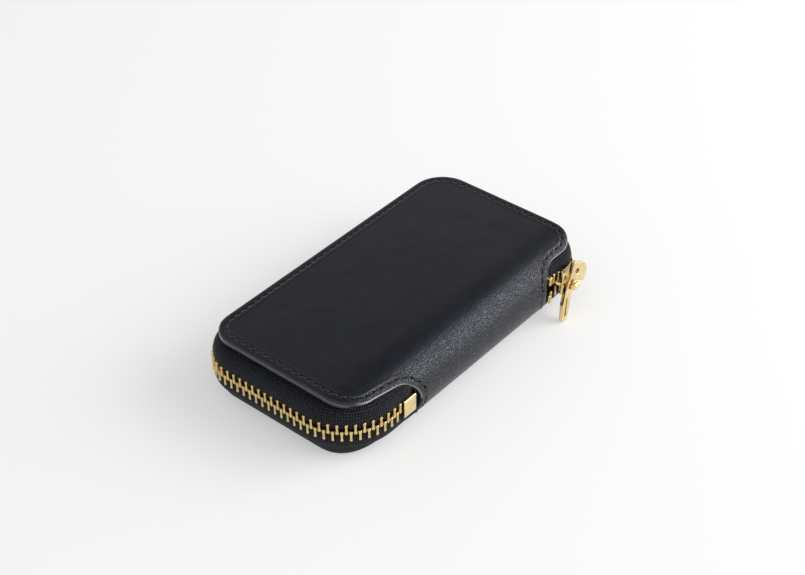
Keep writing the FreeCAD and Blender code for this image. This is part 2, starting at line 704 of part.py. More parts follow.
# Zip teeth: one tooth, crimped over the edge of the tape, set out along the path
tooth = new_body("tooth")
tooth_outline = outline(tooth, "tooth_outline", "XZ_Plane", [[
    ("-Sizes.tooth_tip_width / 2", "-Sizes.tooth_tip_length"),
    ("Sizes.tooth_tip_width / 2", "-Sizes.tooth_tip_length"),
    ("Sizes.tooth_shoulder_width / 2", "Sizes.tooth_shoulder"),
    ("Sizes.tooth_leg_width / 2", "Sizes.tooth_root"),
    ("-Sizes.tooth_leg_width / 2", "Sizes.tooth_root"),
    ("-Sizes.tooth_shoulder_width / 2", "Sizes.tooth_shoulder"),
]], "-Sizes.tooth_depth / 2")
pad(tooth, "tooth_pad", tooth_outline, "Sizes.tooth_depth")
slot = outline(tooth, "tooth_slot_outline", "YZ_Plane", [[
    ("-Sizes.tooth_slot_width / 2", "Sizes.tooth_slot_floor"),
    ("Sizes.tooth_slot_width / 2", "Sizes.tooth_slot_floor"),
    ("Sizes.tooth_slot_width / 2", "2 * Sizes.tooth_root"),
    ("-Sizes.tooth_slot_width / 2", "2 * Sizes.tooth_root"),
]])
through(tooth, "tooth_slot", slot)
doc.recompute()


def standing(shape, s, sign, lift):
    point, out = at_path(s)
    turn = FreeCAD.Rotation(V(-out.y, out.x, 0), V(-out.x, -out.y, 0), V(0, 0, 1), "ZXY")
    copy = shape.copy()
    if sign < 0:
        copy = copy.mirror(V(0, 0, 0), V(0, 0, 1))
    copy.Placement = FreeCAD.Placement(V(point.x, point.y, half + sign * lift), turn).multiply(copy.Placement)
    return copy


stop_x = strap_left - size("stop_from_strap")
first_s = begin_x - stop_x + size("stop_length") + size("stop_tooth_gap")
last_s = path_length - size("end_clip_gap") - size("tooth_pitch")
room = int((last_s - first_s) / size("tooth_pitch"))


def teeth(name, sign, shift):
    row = []
    for i in range(room):
        s = first_s + (i + shift) * size("tooth_pitch")
        row.append(standing(tooth.Shape, s, sign, opening(s)))
    obj = doc.addObject("Part::Feature", name)
    obj.Shape = Part.makeCompound(row)
    return obj


upper_teeth = teeth("upper_teeth", 1, 0.5)
lower_teeth = teeth("lower_teeth", -1, 0.0)

# End clips: one on each tape, behind the slider, where the rows end
clip = new_body("clip")
clip_outline = outline(clip, "clip_outline", "YZ_Plane", [[
    ("-Sizes.end_clip_depth / 2", "0"),
    ("Sizes.end_clip_depth / 2", "0"),
    ("Sizes.end_clip_depth / 2", "Sizes.end_clip_height"),
    ("Sizes.tooth_slot_width / 2", "Sizes.end_clip_height"),
    ("Sizes.tooth_slot_width / 2", "Sizes.tooth_slot_floor"),
    ("-Sizes.tooth_slot_width / 2", "Sizes.tooth_slot_floor"),
    ("-Sizes.tooth_slot_width / 2", "Sizes.end_clip_height"),
    ("-Sizes.end_clip_depth / 2", "Sizes.end_clip_height"),
]], "-Sizes.end_clip_width / 2")
pad(clip, "clip_pad", clip_outline, "Sizes.end_clip_width")
doc.recompute()
clip_s = path_length - size("end_clip_from_end")
clips = []
for name, sign in (("upper_end_clip", 1), ("lower_end_clip", -1)):
    obj = doc.addObject("Part::Feature", name)
    obj.Shape = standing(clip.Shape, clip_s, sign, opening(clip_s))
    clips.append(obj)

# Bottom stop: a jaw on each side of the tapes, joined by a web between their edges
bottom_stop = new_body("bottom_stop")
bottom_stop.Placement = FreeCAD.Placement(V(stop_x, front_y, half), FreeCAD.Rotation())
J, D, SH = S + "stop_jaw", S + "stop_depth / 2", S + "stop_height / 2"
WEB = S + "tape_edge"
stop_outline = outline(bottom_stop, "bottom_stop_outline", "YZ_Plane", [[
    ("-" + D, "-" + SH),
    ("%s - %s" % (J, D), "-" + SH),
    ("%s - %s" % (J, D), "-" + WEB),
    ("%s - %s" % (D, J), "-" + WEB),
    ("%s - %s" % (D, J), "-" + SH),
    (D, "-" + SH),
    (D, SH),
    ("%s - %s" % (D, J), SH),
    ("%s - %s" % (D, J), WEB),
    ("%s - %s" % (J, D), WEB),
    ("%s - %s" % (J, D), SH),
    ("-" + D, SH),
]], "-Sizes.stop_length")
pad(bottom_stop, "bottom_stop_pad", stop_outline, "Sizes.stop_length")

doc.recompute()
NODES = [bottom_cover, bottom_lining, top_cover, top_lining, spine_strap, spine_lining, lower_tape,
         upper_tape, lower_teeth, upper_teeth, bottom_stop, slider_body, slider_crown, pull_tab,
         key_plate, pocket_body] + rivets + hooks + clips
for obj in doc.Objects:
    if "Invalid" in obj.State or "Error" in obj.State:
        raise RuntimeError("%s is not valid: %s" % (obj.Name, obj.State))
for node in NODES:
    if node.Shape.isNull() or not node.Shape.isValid() or not node.Shape.Solids:
        raise RuntimeError("%s has no valid solid" % node.Name)
    node.Shape.exportStep("parts/%s.step" % node.Label)
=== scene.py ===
import math

import bpy
import numpy as np
from mathutils import Matrix, Vector, noise
from mathutils.geometry import delaunay_2d_cdt


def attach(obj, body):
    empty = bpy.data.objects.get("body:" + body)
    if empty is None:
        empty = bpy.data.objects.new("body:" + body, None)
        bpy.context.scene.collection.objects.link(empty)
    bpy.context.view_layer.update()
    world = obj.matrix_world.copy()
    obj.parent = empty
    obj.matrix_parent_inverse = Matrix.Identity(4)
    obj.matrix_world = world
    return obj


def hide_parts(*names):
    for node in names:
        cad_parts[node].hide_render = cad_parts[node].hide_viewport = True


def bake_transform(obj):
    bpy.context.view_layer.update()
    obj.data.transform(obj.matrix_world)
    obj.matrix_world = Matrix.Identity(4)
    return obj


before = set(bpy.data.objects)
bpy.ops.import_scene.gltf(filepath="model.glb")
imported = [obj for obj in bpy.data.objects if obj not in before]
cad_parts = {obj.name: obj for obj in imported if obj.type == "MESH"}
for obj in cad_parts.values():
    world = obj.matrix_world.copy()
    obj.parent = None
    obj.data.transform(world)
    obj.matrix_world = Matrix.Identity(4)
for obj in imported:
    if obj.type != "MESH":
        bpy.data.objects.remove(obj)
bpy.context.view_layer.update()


# Outer leather: one sheet of thick hide, dyed black right through and rolled round the spine.
# A round notch at each end of the spine lets the zip run out from behind the strap.
# The cut edges are rounded over, waxed and polished, and a groove holds the stitches.
MM = 0.001
roll_radius, roll_y, roll_z = 11.0, -20.7, 11.0
roll_length = roll_radius * math.pi / 2
roll_ease = 5.5
leather_thickness, lining_thickness = 1.8, 1.4
stitch_inset, stitch_groove = 2.3, 0.14


class Wire:
    """One socket of a node tree: sums and products of wires add Math nodes."""

    def __init__(self, tree, socket):
        self.tree, self.socket = tree, socket

    @staticmethod
    def add(tree, kind, settings=None, sockets=None, out=0):
        node = tree.nodes.new(kind)
        for name, value in (settings or {}).items():
            setattr(node, name, value)
        for key, value in (sockets or {}).items():
            if isinstance(value, Wire):
                tree.links.new(value.socket, node.inputs[key])
            else:
                node.inputs[key].default_value = value
        return Wire(tree, node.outputs[out])

    def math(self, operation, *others):
        terms = dict(enumerate((self,) + others))
        return Wire.add(self.tree, "ShaderNodeMath", {"operation": operation}, terms)

    def __add__(self, other):
        return self.math("ADD", other)

    def __sub__(self, other):
        return self.math("SUBTRACT", other)

    def __rsub__(self, other):
        return self.math("MULTIPLY_ADD", -1.0, other)

    def __mul__(self, other):
        return self.math("MULTIPLY", other)

    def __truediv__(self, other):
        return self.math("DIVIDE", other)

    __radd__ = __add__

    def clamped(self):
        return Wire.add(self.tree, "ShaderNodeClamp", None, {"Value": self})

    def between(self, low, high):
        """0 below low, 1 above high, smooth between."""
        spread = {"Value": self, "From Min": low, "From Max": high}
        return Wire.add(self.tree, "ShaderNodeMapRange", {"interpolation_type": "SMOOTHSTEP"}, spread)

    def tint(self, low, high):
        """A colour that goes from low to high as the wire goes from 0 to 1."""
        ends = {0: self, 6: low, 7: high}
        return Wire.add(self.tree, "ShaderNodeMix", {"data_type": "RGBA"}, ends, 2)

    def noisy(self, scale, out=0, **sockets):
        """Noise read at the place that the wire gives."""
        values = {"Vector": self, "Scale": scale, **sockets}
        return Wire.add(self.tree, "ShaderNodeTexNoise", None, values, out)

    def bumped(self, depth, strength):
        """The normal of a surface with the wire as its relief; depth is in metres."""
        relief = {"Height": self, "Distance": depth, "Strength": strength}
        return Wire.add(self.tree, "ShaderNodeBump", None, relief)


def finish(name, **fixed):
    """A material with the plain numbers and colours of its shader set."""
    material = bpy.data.materials.new(name)
    material.use_nodes = True
    shader = material.node_tree.nodes["Principled BSDF"]
    for socket, value in fixed.items():
        shader.inputs[socket.replace("_", " ")].default_value = value
    return material, material.node_tree, shader


def feed(shader, **wires):
    """Links wires to the sockets of a shader."""
    for socket, wire in wires.items():
        wire.tree.links.new(wire.socket, shader.inputs[socket.replace("_", " ")])


def hide(name, dark, pale, rough, grain_size, grain_depth):
    """Smooth dyed leather: soft clouds in the dye, fine pores, and a fine crackle that shows on a bend."""
    material, tree, shader = finish(name, Specular_IOR_Level=0.52, Specular_Tint=cool_sheen)
    flat_y, bent_y = -24.0 * MM, -28.2 * MM
    place = Wire.add(tree, "ShaderNodeTexCoord", out="Object")
    cloud = place.noisy(70.0, Detail=4.0, Roughness=0.6)
    mottle = place.noisy(420.0, Detail=5.0, Roughness=0.65)
    cell = 1.0 / grain_size
    wander = place.noisy(0.4 * cell, "Color", Detail=2.0)
    nudge = Wire.add(tree, "ShaderNodeVectorMath", {"operation": "SCALE"},
                     {0: wander, "Scale": 0.9 * grain_size})
    moved = Wire.add(tree, "ShaderNodeVectorMath", {"operation": "ADD"}, {0: place, 1: nudge})
    crackle = Wire.add(tree, "ShaderNodeTexVoronoi", {"feature": "DISTANCE_TO_EDGE"},
                       {"Vector": moved, "Scale": cell})
    pores = place.noisy(1.3 * cell, Detail=4.0, Roughness=0.75)
    creases = crackle.between(0.0, 0.2)
    front = Wire.add(tree, "ShaderNodeSeparateXYZ", None, {0: place}, 1)
    strained = front.between(flat_y, bent_y) * 0.94 + 0.06
    height = (creases * 1.2 + pores * 0.8 + mottle * 0.6) * strained
    shade = (cloud * 0.6 + mottle * 0.4).between(0.32, 0.68)
    feed(shader,
         Base_Color=shade.tint(dark, pale),
         Roughness=(mottle * 0.12 + (pores * 0.2 - 0.13) * strained + (rough - 0.05)).clamped(),
         Normal=height.bumped(grain_depth, 1.0))
    return material


cool_sheen = (0.84, 0.88, 1.0, 1.0)
outer_leather = hide("outer_leather", (0.0038, 0.0041, 0.0068, 1.0), (0.0064, 0.0068, 0.0105, 1.0),
                     0.33, 0.8 * MM, 0.085 * MM)


def burnished(name, gloss, rough, front_wax, wax):
    """The edge of the leather: faint fibres along it, and a coat of wax that differs near the spine."""
    material, tree, shader = finish(name, Specular_IOR_Level=gloss, Specular_Tint=cool_sheen,
                                    Coat_IOR=2.1, Coat_Roughness=0.07)
    side_y, spine_y = -24.5 * MM, -27.5 * MM
    place = Wire.add(tree, "ShaderNodeTexCoord", out="Object")
    front = Wire.add(tree, "ShaderNodeSeparateXYZ", None, {0: place}, 1)
    fibre = place.noisy(900.0, Detail=4.0, Roughness=0.6)
    patch = place.noisy(130.0, Detail=2.0)
    shade = (fibre * 0.5 + patch * 0.5).between(0.3, 0.7)
    feed(shader,
         Base_Color=shade.tint((0.008, 0.0082, 0.0105, 1.0), (0.018, 0.0185, 0.022, 1.0)),
         Roughness=patch * 0.14 + (rough - 0.07),
         Coat_Weight=front.between(side_y, spine_y) * (front_wax - wax) + wax,
         Normal=fibre.bumped(0.02 * MM, 0.6))
    return material


burnished_edge = burnished("burnished_edge", 0.45, 0.18, 1.0, 0.0)
waxed_edge = burnished("waxed_edge", 0.7, 0.2, 1.0, 0.2)
dull_edge = burnished("dull_edge", 0.35, 0.4, 0.0, 0.0)


def roll_curve():
    """The section of the roll from the middle of the spine as s, y, z and tilt, eased into the flat."""
    s = np.linspace(0.0, roll_length + roll_ease, 500)
    tilt = (roll_length - s) / roll_radius
    eased_tilt = (roll_length + roll_ease - s) ** 2 / (4 * roll_ease * roll_radius)
    tilt = np.where(s > roll_length - roll_ease, eased_tilt, tilt)
    middle = 0.5 * (tilt[1:] + tilt[:-1])
    run = np.concatenate(([0.0], np.cumsum(np.cos(middle) * np.diff(s))))
    climb = np.concatenate(([0.0], np.cumsum(np.sin(middle) * np.diff(s))))
    return s, roll_y + roll_ease - run[-1] + run, roll_z + roll_radius * climb / climb[-1], tilt


rolled = roll_curve()


def on_sheet(x, s, rise):
    """A point of the rolled sheet in mm: s runs from the middle of the spine, rise is off the outer face."""
    if s < roll_length + roll_ease:
        y, z, tilt = (float(np.interp(s, rolled[0], values)) for values in rolled[1:])
        return Vector((x, y - rise * math.sin(tilt), z + rise * math.cos(tilt)))
    return Vector((x, roll_y + s - roll_length, roll_z + roll_radius + rise))


def notch(radius, centre, side):
    """A quarter of the notch at one end of the strap, from the middle of the spine to the cover."""
    arc = []
    for i in range(61):
        turn = math.radians(1.5 * i)
        s = roll_radius * math.asin(radius * math.sin(turn) / roll_radius)
        arc.append((centre - side * radius * math.cos(turn), s))
    return arc


def sheet_edge(step, top):
    """The cut edge of half the sheet, laid flat, from one end of the strap round the cover to the other.
    Each corner is a radius and the two edges that it joins; the corners differ, as hand-cut ones do."""
    left, left_corner = (-53.45, 9.7) if top else (-53.0, 13.0)
    corners = ((7.3, 53.5, -28.25), (10.8, 53.3, 27.7), (8.0, left, 27.7), (left_corner, left, -27.5))
    fine_step, smoothings = 0.25, 14
    line = notch(8.0, 41.1, 1)
    for quarter, (corner, edge_x, edge_y) in enumerate(corners):
        cx, cy = edge_x - math.copysign(corner, edge_x), edge_y - math.copysign(corner, edge_y)
        for i in range(31):
            turn = math.radians(90 * quarter - 90 + 3 * i)
            y = cy + corner * math.sin(turn)
            s = roll_length + y - roll_y
            if y < roll_y:
                s = roll_radius * math.acos((roll_y - y) / roll_radius)
            line.append((cx + corner * math.cos(turn), s))
    line += notch(7.8, -35.4, -1)[::-1]
    line = spaced(line, fine_step)
    for i in range(smoothings):
        line[1:-1] = 0.25 * line[:-2] + 0.5 * line[1:-1] + 0.25 * line[2:]
    return spaced(line, step)


def spaced(line, step):
    """The same line, with its points set out at even distances."""
    points = np.array(line, float)
    runs = np.linalg.norm(np.diff(points, axis=0), axis=1)
    along = np.concatenate(([0.0], np.cumsum(runs)))
    count = max(2, int(round(along[-1] / step)) + 1)
    places = np.linspace(0.0, along[-1], count)
    return np.stack([np.interp(places, along, points[:, k]) for k in range(points.shape[1])], axis=1)


def inward(line, closed):
    """Unit vectors to the left of a flat line, which is the side of the material."""
    if closed:
        way = np.roll(line, -1, axis=0) - np.roll(line, 1, axis=0)
    else:
        way = np.gradient(line, axis=0)
        way[0], way[-1] = (0.0, 1.0), (0.0, -1.0)
    way /= np.linalg.norm(way, axis=1)[:, None]
    return np.stack([-way[:, 1], way[:, 0]], axis=1)


def inside(points, loop):
    """Which of the points lie inside a closed loop."""
    hit = np.zeros(len(points), bool)
    after = np.roll(loop, -1, axis=0)
    for (x0, y0), (x1, y1) in zip(loop, after):
        if y0 == y1:
            continue
        spans = (points[:, 1] < y0) != (points[:, 1] < y1)
        hit ^= spans & (points[:, 0] < x0 + (points[:, 1] - y0) * (x1 - x0) / (y1 - y0))
    return hit


def filled(loops, extra):
    """Triangles between an outer loop and its holes, which also pass through the extra points."""
    points = np.concatenate(loops + ([extra] if len(extra) else []))
    edges = []
    first = 0
    for loop in loops:
        edges += [(first + i, first + (i + 1) % len(loop)) for i in range(len(loop))]
        first += len(loop)
    made = delaunay_2d_cdt([Vector(p) for p in points], edges, [], 0, 1e-7)
    places, faces, sources = made[0], made[2], made[3]
    names = [source[0] for source in sources]
    spots = np.array([[sum(places[i][k] for i in face) / 3 for k in (0, 1)] for face in faces])
    keep = inside(spots, loops[0])
    for hole in loops[1:]:
        keep &= ~inside(spots, hole)
    return [tuple(names[i] for i in face) for face, kept in zip(faces, keep) if kept]


def added(name, data):
    """A new object of the scene, at the origin."""
    obj = bpy.data.objects.new(name, data)
    bpy.context.scene.collection.objects.link(obj)
    return obj


def meshed(name, verts, faces, materials, kinds=None):
    """An object from points in mm, shaded smooth, with one material index per face."""
    mesh = bpy.data.meshes.new(name)
    mesh.from_pydata([Vector(v) * MM for v in verts], [], faces)
    for material in materials:
        mesh.materials.append(material)
    mesh.shade_smooth()
    if kinds is not None:
        mesh.polygons.foreach_set("material_index", kinds)
    mesh.update()
    return added(name, mesh)


def face_height(d):
    """The outer face of the leather at a distance from its edge: rounded over, grooved, then full."""
    rounding, groove_width = 0.6, 0.36
    ridge, ridge_inset, ridge_width = 0.05, 3.1, 0.5
    height = -stitch_groove * math.exp(-((d - stitch_inset) / groove_width) ** 2)
    height += ridge * math.exp(-((d - ridge_inset) / ridge_width) ** 2)
    if d < rounding:
        height -= rounding - math.sqrt(rounding ** 2 - (rounding - d) ** 2)
    return height


def inner_grid(hem, seam):
    """Points across the sheet inside its hem, and the share of the relief that each may have."""
    least_square, rise_from, rise_over, seam_over = 0.35, 1.6, 6.0, 6.0
    grid_x = np.arange(-48.0, 48.1, 1.0)
    bent_s, flat_s = np.arange(0.5, roll_length + 1.0, 0.5), np.arange(roll_length + 1.5, 62.0, 1.0)
    rows = enumerate(np.concatenate((bent_s, flat_s)))
    grid = np.array([(x + 0.25 * (j % 2), s) for j, s in rows for x in grid_x])
    squares = np.array([np.min(np.sum((hem - p) ** 2, axis=1)) for p in grid])
    clear = (squares > least_square) & inside(grid, np.concatenate((hem, seam)))
    grid, gap = grid[clear], np.sqrt(squares[clear])
    share = np.clip((gap - rise_from) / rise_over, 0.0, 1.0) * np.clip(grid[:, 1] / seam_over, 0.0, 1.0)
    return grid, share * share * (3.0 - 2.0 * share)


def sheet_half(name, top, profile, materials, kind_of, relief=None):
    """Half of a rolled sheet as a closed solid. The profile holds (distance from the edge, rise) pairs, from
    the outer face round the edge to the inner face, and kind_of gives the material of each strip."""
    edge = sheet_edge(0.6, top)
    into = inward(edge, False)
    count = len(edge)
    verts, faces, kinds, starts, seams = [], [], [], [], []
    for d, rise in profile:
        starts.append(len(verts))
        verts += [on_sheet(x, max(s, 0.0), rise) for x, s in edge + into * d]
    for k in range(len(profile) - 1):
        for i in range(count - 1):
            a, b = starts[k] + i, starts[k + 1] + i
            faces.append((a, b, b + 1, a + 1))
            kinds.append(kind_of(0.5 * (profile[k][0] + profile[k + 1][0]), profile[k + 1][1]))
    hem = edge + into * profile[0][0]
    seam = spaced([hem[-1], hem[0]], 1.0)[1:-1]
    grid, share = inner_grid(hem, seam)
    points = np.concatenate((seam, grid))
    share = np.concatenate((np.zeros(len(seam)), share))
    patch = filled([np.concatenate((hem, seam))], grid)
    for k, turned in ((0, False), (-1, True)):
        names = list(range(starts[k], starts[k] + count))
        for (x, s), part in zip(points, share):
            lift = relief(x, s) * part if relief and not turned else 0.0
            names.append(len(verts))
            verts.append(on_sheet(x, s, profile[k][1] + lift))
        for face in patch:
            named = tuple(names[i] for i in face)
            faces.append(named[::-1] if turned else named)
            kinds.append(0)
        seams.append(names[count:count + len(seam)])
    faces.append([start + count - 1 for start in starts][::-1] + seams[0] + starts + seams[1][::-1])
    kinds.append(0)
    if not top:
        verts = [Vector((v.x, v.y, 2 * roll_z - v.z)) for v in verts]
        faces = [tuple(reversed(face)) for face in faces]
    obj = meshed(name, verts, faces, materials, kinds)
    away = np.zeros((len(verts), 3))
    for i, (x, s) in enumerate(hem):
        up = on_sheet(x, max(s, 0.0), 1.0) - on_sheet(x, max(s, 0.0), 0.0)
        away[starts[0] + i] = (up.x, up.y, up.z if top else -up.z)
    outer = [start for start, (d, rise) in zip(starts, profile) if d > 0.8 and rise > -0.5]
    for i in seams[0] + outer + [start + count - 1 for start in outer]:
        if abs(verts[i].z - roll_z) < 1e-6:
            away[i] = (0.0, -1.0, 0.0)
    obj.data.normals_split_custom_set_from_vertices(away.tolist())
    return obj


def unevenness(x, s):
    """The slow rise and fall of a real hide, in mm."""
    broad = noise.noise(Vector((x / 13.0, s / 11.0, 0.7)))
    small = noise.noise(Vector((x / 5.0, s / 4.5, 3.1)))
    return 0.05 * broad + 0.03 * small


face_insets = (4.4, 4.0, 3.6, 3.3, 3.05, 2.8, 2.6, 2.45, 2.35, 2.25, 2.15, 2.0, 1.8, 1.55, 1.25, 0.9, 0.65,
               0.5, 0.38, 0.28, 0.19, 0.12, 0.06, 0.025, 0.006)
leather_profile = [(d, face_height(d)) for d in face_insets]
leather_profile += [(0.0, -0.55), (0.0, -0.9), (0.0, -1.3), (0.0, -1.6), (0.01, -1.72), (0.06, -1.79),
                    (0.14, -leather_thickness), (4.4, -leather_thickness)]
fold_low, fold_high = math.radians(28.0), math.radians(60.0)


def crosses_fold(obj, top):
    """Bakes a piece of the sheet's transform into its mesh; the points on the fold line between the spine
    and a cover are worked out but not used.
    """
    for turn in (fold_low, fold_high):
        point = on_sheet(0.0, roll_radius * turn, 0.0)
        if not top:
            point.z = 2 * roll_z - point.z
    if top:
        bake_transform(obj)
    else:
        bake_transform(obj)


def leather_kind(d, rise):
    """0 for the faces of the leather, 1 for its burnished edge and 2 for the line of wax along that."""
    if d < 0.45 and rise > -1.79:
        return 2 if -1.65 < rise < -1.0 else 1
    return 0


halves = (("top", True), ("bottom", False))
for side, top in halves:
    rims = [burnished_edge, waxed_edge] if top else [dull_edge, dull_edge]
    shell = sheet_half(side + "_leather", top, leather_profile, [outer_leather] + rims, leather_kind,
                       unevenness if top else None)
    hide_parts(side + "_cover", *(["spine_strap"] if top else []))
    crosses_fold(shell, top)


# Lining: a second, thinner layer of the same hide, glued flesh to flesh inside the first.
# It ends flush with the outer leather, so every edge of the case shows the two layers.
lining_leather = hide("lining_leather", (0.013, 0.0125, 0.013, 1.0), (0.021, 0.0205, 0.021, 1.0),
                      0.62, 0.7 * MM, 0.05 * MM)
lining_top = -leather_thickness
lining_foot = -leather_thickness - lining_thickness
lining_profile = [(4.2, lining_top), (0.14, lining_top), (0.07, -1.81), (0.03, -1.86), (0.02, -1.94),
                  (0.03, -2.1), (0.07, -2.3), (0.14, -2.52), (0.24, -2.74), (0.36, -2.94), (0.5, -3.09),
                  (0.66, -3.17), (0.85, lining_foot), (1.4, lining_foot), (4.2, lining_foot)]


def lining_kind(d, rise):
    """0 for the faces of the lining and 1 for its edge."""
    return 1 if d < 0.6 else 0


for side, top in halves:
    rim = burnished_edge if top else dull_edge
    inner = sheet_half(side + "_lining_sheet", top, lining_profile, [lining_leather, rim], lining_kind)
    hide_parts(side + "_lining", *(["spine_lining"] if top else []))
    crosses_fold(inner, top)


# Thread: a waxed black saddle stitch in the groove, right round both covers and the two notches.
# Each stitch lies a little askew and dives into its hole at both ends; each hole is a near-black oval of
# painted shade in the groove.
stitch_pitch, stitch_length, thread_width = 2.75, 1.9, 0.62
stitch_wobble = math.radians(3.0)


def waxed_thread():
    """Black linen thread with a little wax on its twist."""
    material, tree, shader = finish("waxed_thread", Specular_IOR_Level=0.55)
    place = Wire.add(tree, "ShaderNodeTexCoord", out="Object")
    twist = place.noisy(5200.0, Detail=2.0, Roughness=0.6)
    feed(shader,
         Base_Color=twist.tint((0.002, 0.002, 0.0025, 1.0), (0.01, 0.01, 0.012, 1.0)),
         Roughness=twist * 0.3 + 0.35,
         Normal=twist.bumped(0.05 * MM, 0.7))
    return material


black_thread = waxed_thread()


def one_stitch():
    """A short arched bar of thread, round in section, thinner at its two ends."""
    verts, faces = [], []
    rings, sides = 7, 8
    for j in range(rings):
        t = j / (rings - 1) * 2 - 1
        girth = thread_width / 2 * (1 - 0.45 * abs(t) ** 3)
        drop = 0.3 * abs(t) ** 3
        for i in range(sides):
            turn = math.tau * i / sides
            x, z = t * stitch_length / 2, 0.8 * girth * math.sin(turn) - drop
            verts.append((x, girth * math.cos(turn), z))
    for j in range(rings - 1):
        for i in range(sides):
            a, b = j * sides + i, j * sides + (i + 1) % sides
            faces.append((a, b, b + sides, a + sides))
    faces.append(tuple(reversed(range(sides))))
    faces.append(tuple(range((rings - 1) * sides, rings * sides)))
    return meshed("one_stitch", verts, faces, [black_thread])


def repeat_tree(name, sockets):
    """A new node tree that sets out copies of a pattern, with a wire from each of its inputs."""
    tree = bpy.data.node_groups.new(name, "GeometryNodeTree")
    for label, kind in sockets.items():
        tree.interface.new_socket(label, in_out="INPUT", socket_type="NodeSocket" + kind)
    tree.interface.new_socket("Row", in_out="OUTPUT", socket_type="NodeSocketGeometry")
    entry = tree.nodes.new("NodeGroupInput")
    return tree, {socket.name: Wire(tree, socket) for socket in entry.outputs if socket.name}


def set_out(tree, points, turns, given):
    """Ends a tree: a copy of the pattern on each point, as plain mesh in the given material."""
    shape = Wire.add(tree, "GeometryNodeObjectInfo", None, {"Object": given["Pattern"]}, "Geometry")
    placed = Wire.add(tree, "GeometryNodeInstanceOnPoints", None,
                      {"Points": points, "Instance": shape, "Rotation": turns})
    solid = Wire.add(tree, "GeometryNodeRealizeInstances", None, {0: placed})
    dressed = Wire.add(tree, "GeometryNodeSetMaterial", None,
                       {"Geometry": solid, "Material": given["Finish"]})
    leave = tree.nodes.new("NodeGroupOutput")
    tree.links.new(dressed.socket, leave.inputs[0])
    return tree


def stitching_tree():
    """Sets a stitch at even steps along a path, lying on the face that the attribute face_up gives."""
    tree, given = repeat_tree("stitching", {
        "Path": "Geometry", "Pattern": "Object", "Pitch": "Float", "Slant": "Float", "Finish": "Material"})
    curve = Wire.add(tree, "GeometryNodeMeshToCurve", None, {0: given["Path"]})
    points = Wire.add(tree, "GeometryNodeResampleCurve", {"mode": "LENGTH"},
                      {"Curve": curve, "Length": given["Pitch"]})
    along = Wire.add(tree, "GeometryNodeInputTangent")
    up = Wire.add(tree, "GeometryNodeInputNamedAttribute", {"data_type": "FLOAT_VECTOR"},
                  {"Name": "face_up"})
    lie = Wire.add(tree, "FunctionNodeAxesToRotation", {"primary_axis": "X", "secondary_axis": "Z"},
                   {0: along, 1: up})
    low, high = given["Slant"] - stitch_wobble, given["Slant"] + stitch_wobble
    askew = Wire.add(tree, "FunctionNodeRandomValue", {"data_type": "FLOAT"},
                     {2: low, 3: high, "Seed": 4}, 1)
    turn = Wire.add(tree, "ShaderNodeCombineXYZ", None, {"Z": askew})
    spin = Wire.add(tree, "FunctionNodeEulerToRotation", None, {0: turn})
    laid = Wire.add(tree, "FunctionNodeRotateRotation", {"rotation_space": "LOCAL"}, {0: lie, 1: spin})
    return set_out(tree, points, laid, given)


def made_by(name, carrier, tree, **values):
    """Runs a node tree on a carrier object and keeps the result as a plain mesh."""
    work = carrier.modifiers.new(name, "NODES")
    work.node_group = tree
    for item in tree.interface.items_tree:
        if item.in_out == "INPUT" and item.name in values:
            work[item.identifier] = values[item.name]
    bpy.context.view_layer.update()
    state = carrier.evaluated_get(bpy.context.evaluated_depsgraph_get())
    mesh = bpy.data.meshes.new_from_object(state)
    mesh.name = name
    bpy.data.objects.remove(carrier)
    mesh.shade_smooth()
    return added(name, mesh)


def path_object(name, points, ups):
    """A line of edges in mm, with the direction off the surface kept at each point."""
    mesh = bpy.data.meshes.new(name)
    mesh.from_pydata([Vector(p) * MM for p in points], [(i, i + 1) for i in range(len(points) - 1)], [])
    face_up = mesh.attributes.new("face_up", "FLOAT_VECTOR", "POINT")
    face_up.data.foreach_set("vector", np.array(ups, float).ravel())
    return added(name, mesh)


def one_hole():
    """A small near-black oval of painted shade, standing in for the shadow inside an awl hole; it lies in
    the groove between two stitches.
    """
    half_length, half_width, depth, sides = 0.85, 0.55, 0.25, 12
    turns = [math.tau * i / sides for i in range(sides)]
    ring = [(half_length * math.cos(turn), half_width * math.sin(turn), 0.0) for turn in turns]
    under = [(x, y, -depth) for x, y, z in ring]
    faces = [tuple(range(sides)), tuple(range(2 * sides - 1, sides - 1, -1))]
    faces += [(i, i + sides, (i + 1) % sides + sides, (i + 1) % sides) for i in range(sides)]
    return meshed("one_hole", ring + under, faces, [hole_shade_paint])


# Painted shade: each awl hole is a solid near-black oval with almost no reflection, not a cut hole.
hole_shade_paint = finish("painted_hole_shade", Base_Color=(0.0012, 0.0012, 0.0014, 1.0), Roughness=0.9,
                  Specular_IOR_Level=0.05)[0]
stitch_tree = stitching_tree()
seam_step, seam_ends = 0.25, 5
half_pitch = int(round(stitch_pitch / 2 / seam_step))
for side, top in halves:
    seam = sheet_edge(seam_step, top)
    seam = (seam + inward(seam, False) * stitch_inset)[seam_ends:-seam_ends]
    for name, shape, rise, part, dress, slant in (
            ("_stitches", one_stitch(), 0.12, seam, black_thread, 7.0),
            ("_stitch_holes", one_hole(), 0.05, seam[half_pitch:-half_pitch], hole_shade_paint, 20.0)):
        line, ups = [], []
        for x, s in part:
            here = on_sheet(x, s, rise - stitch_groove)
            up = (on_sheet(x, s, 1.0) - on_sheet(x, s, 0.0)).normalized()
            if not top:
                here.z, up.z = 2 * roll_z - here.z, -up.z
            line.append(here)
            ups.append(up)
        path = path_object(side + "_seam", line, ups)
        thread = made_by(side + name, path, stitch_tree, Pattern=shape, Pitch=stitch_pitch * MM,
                         Slant=math.radians(slant), Finish=dress)
        bpy.data.objects.remove(shape)
        crosses_fold(thread, top)


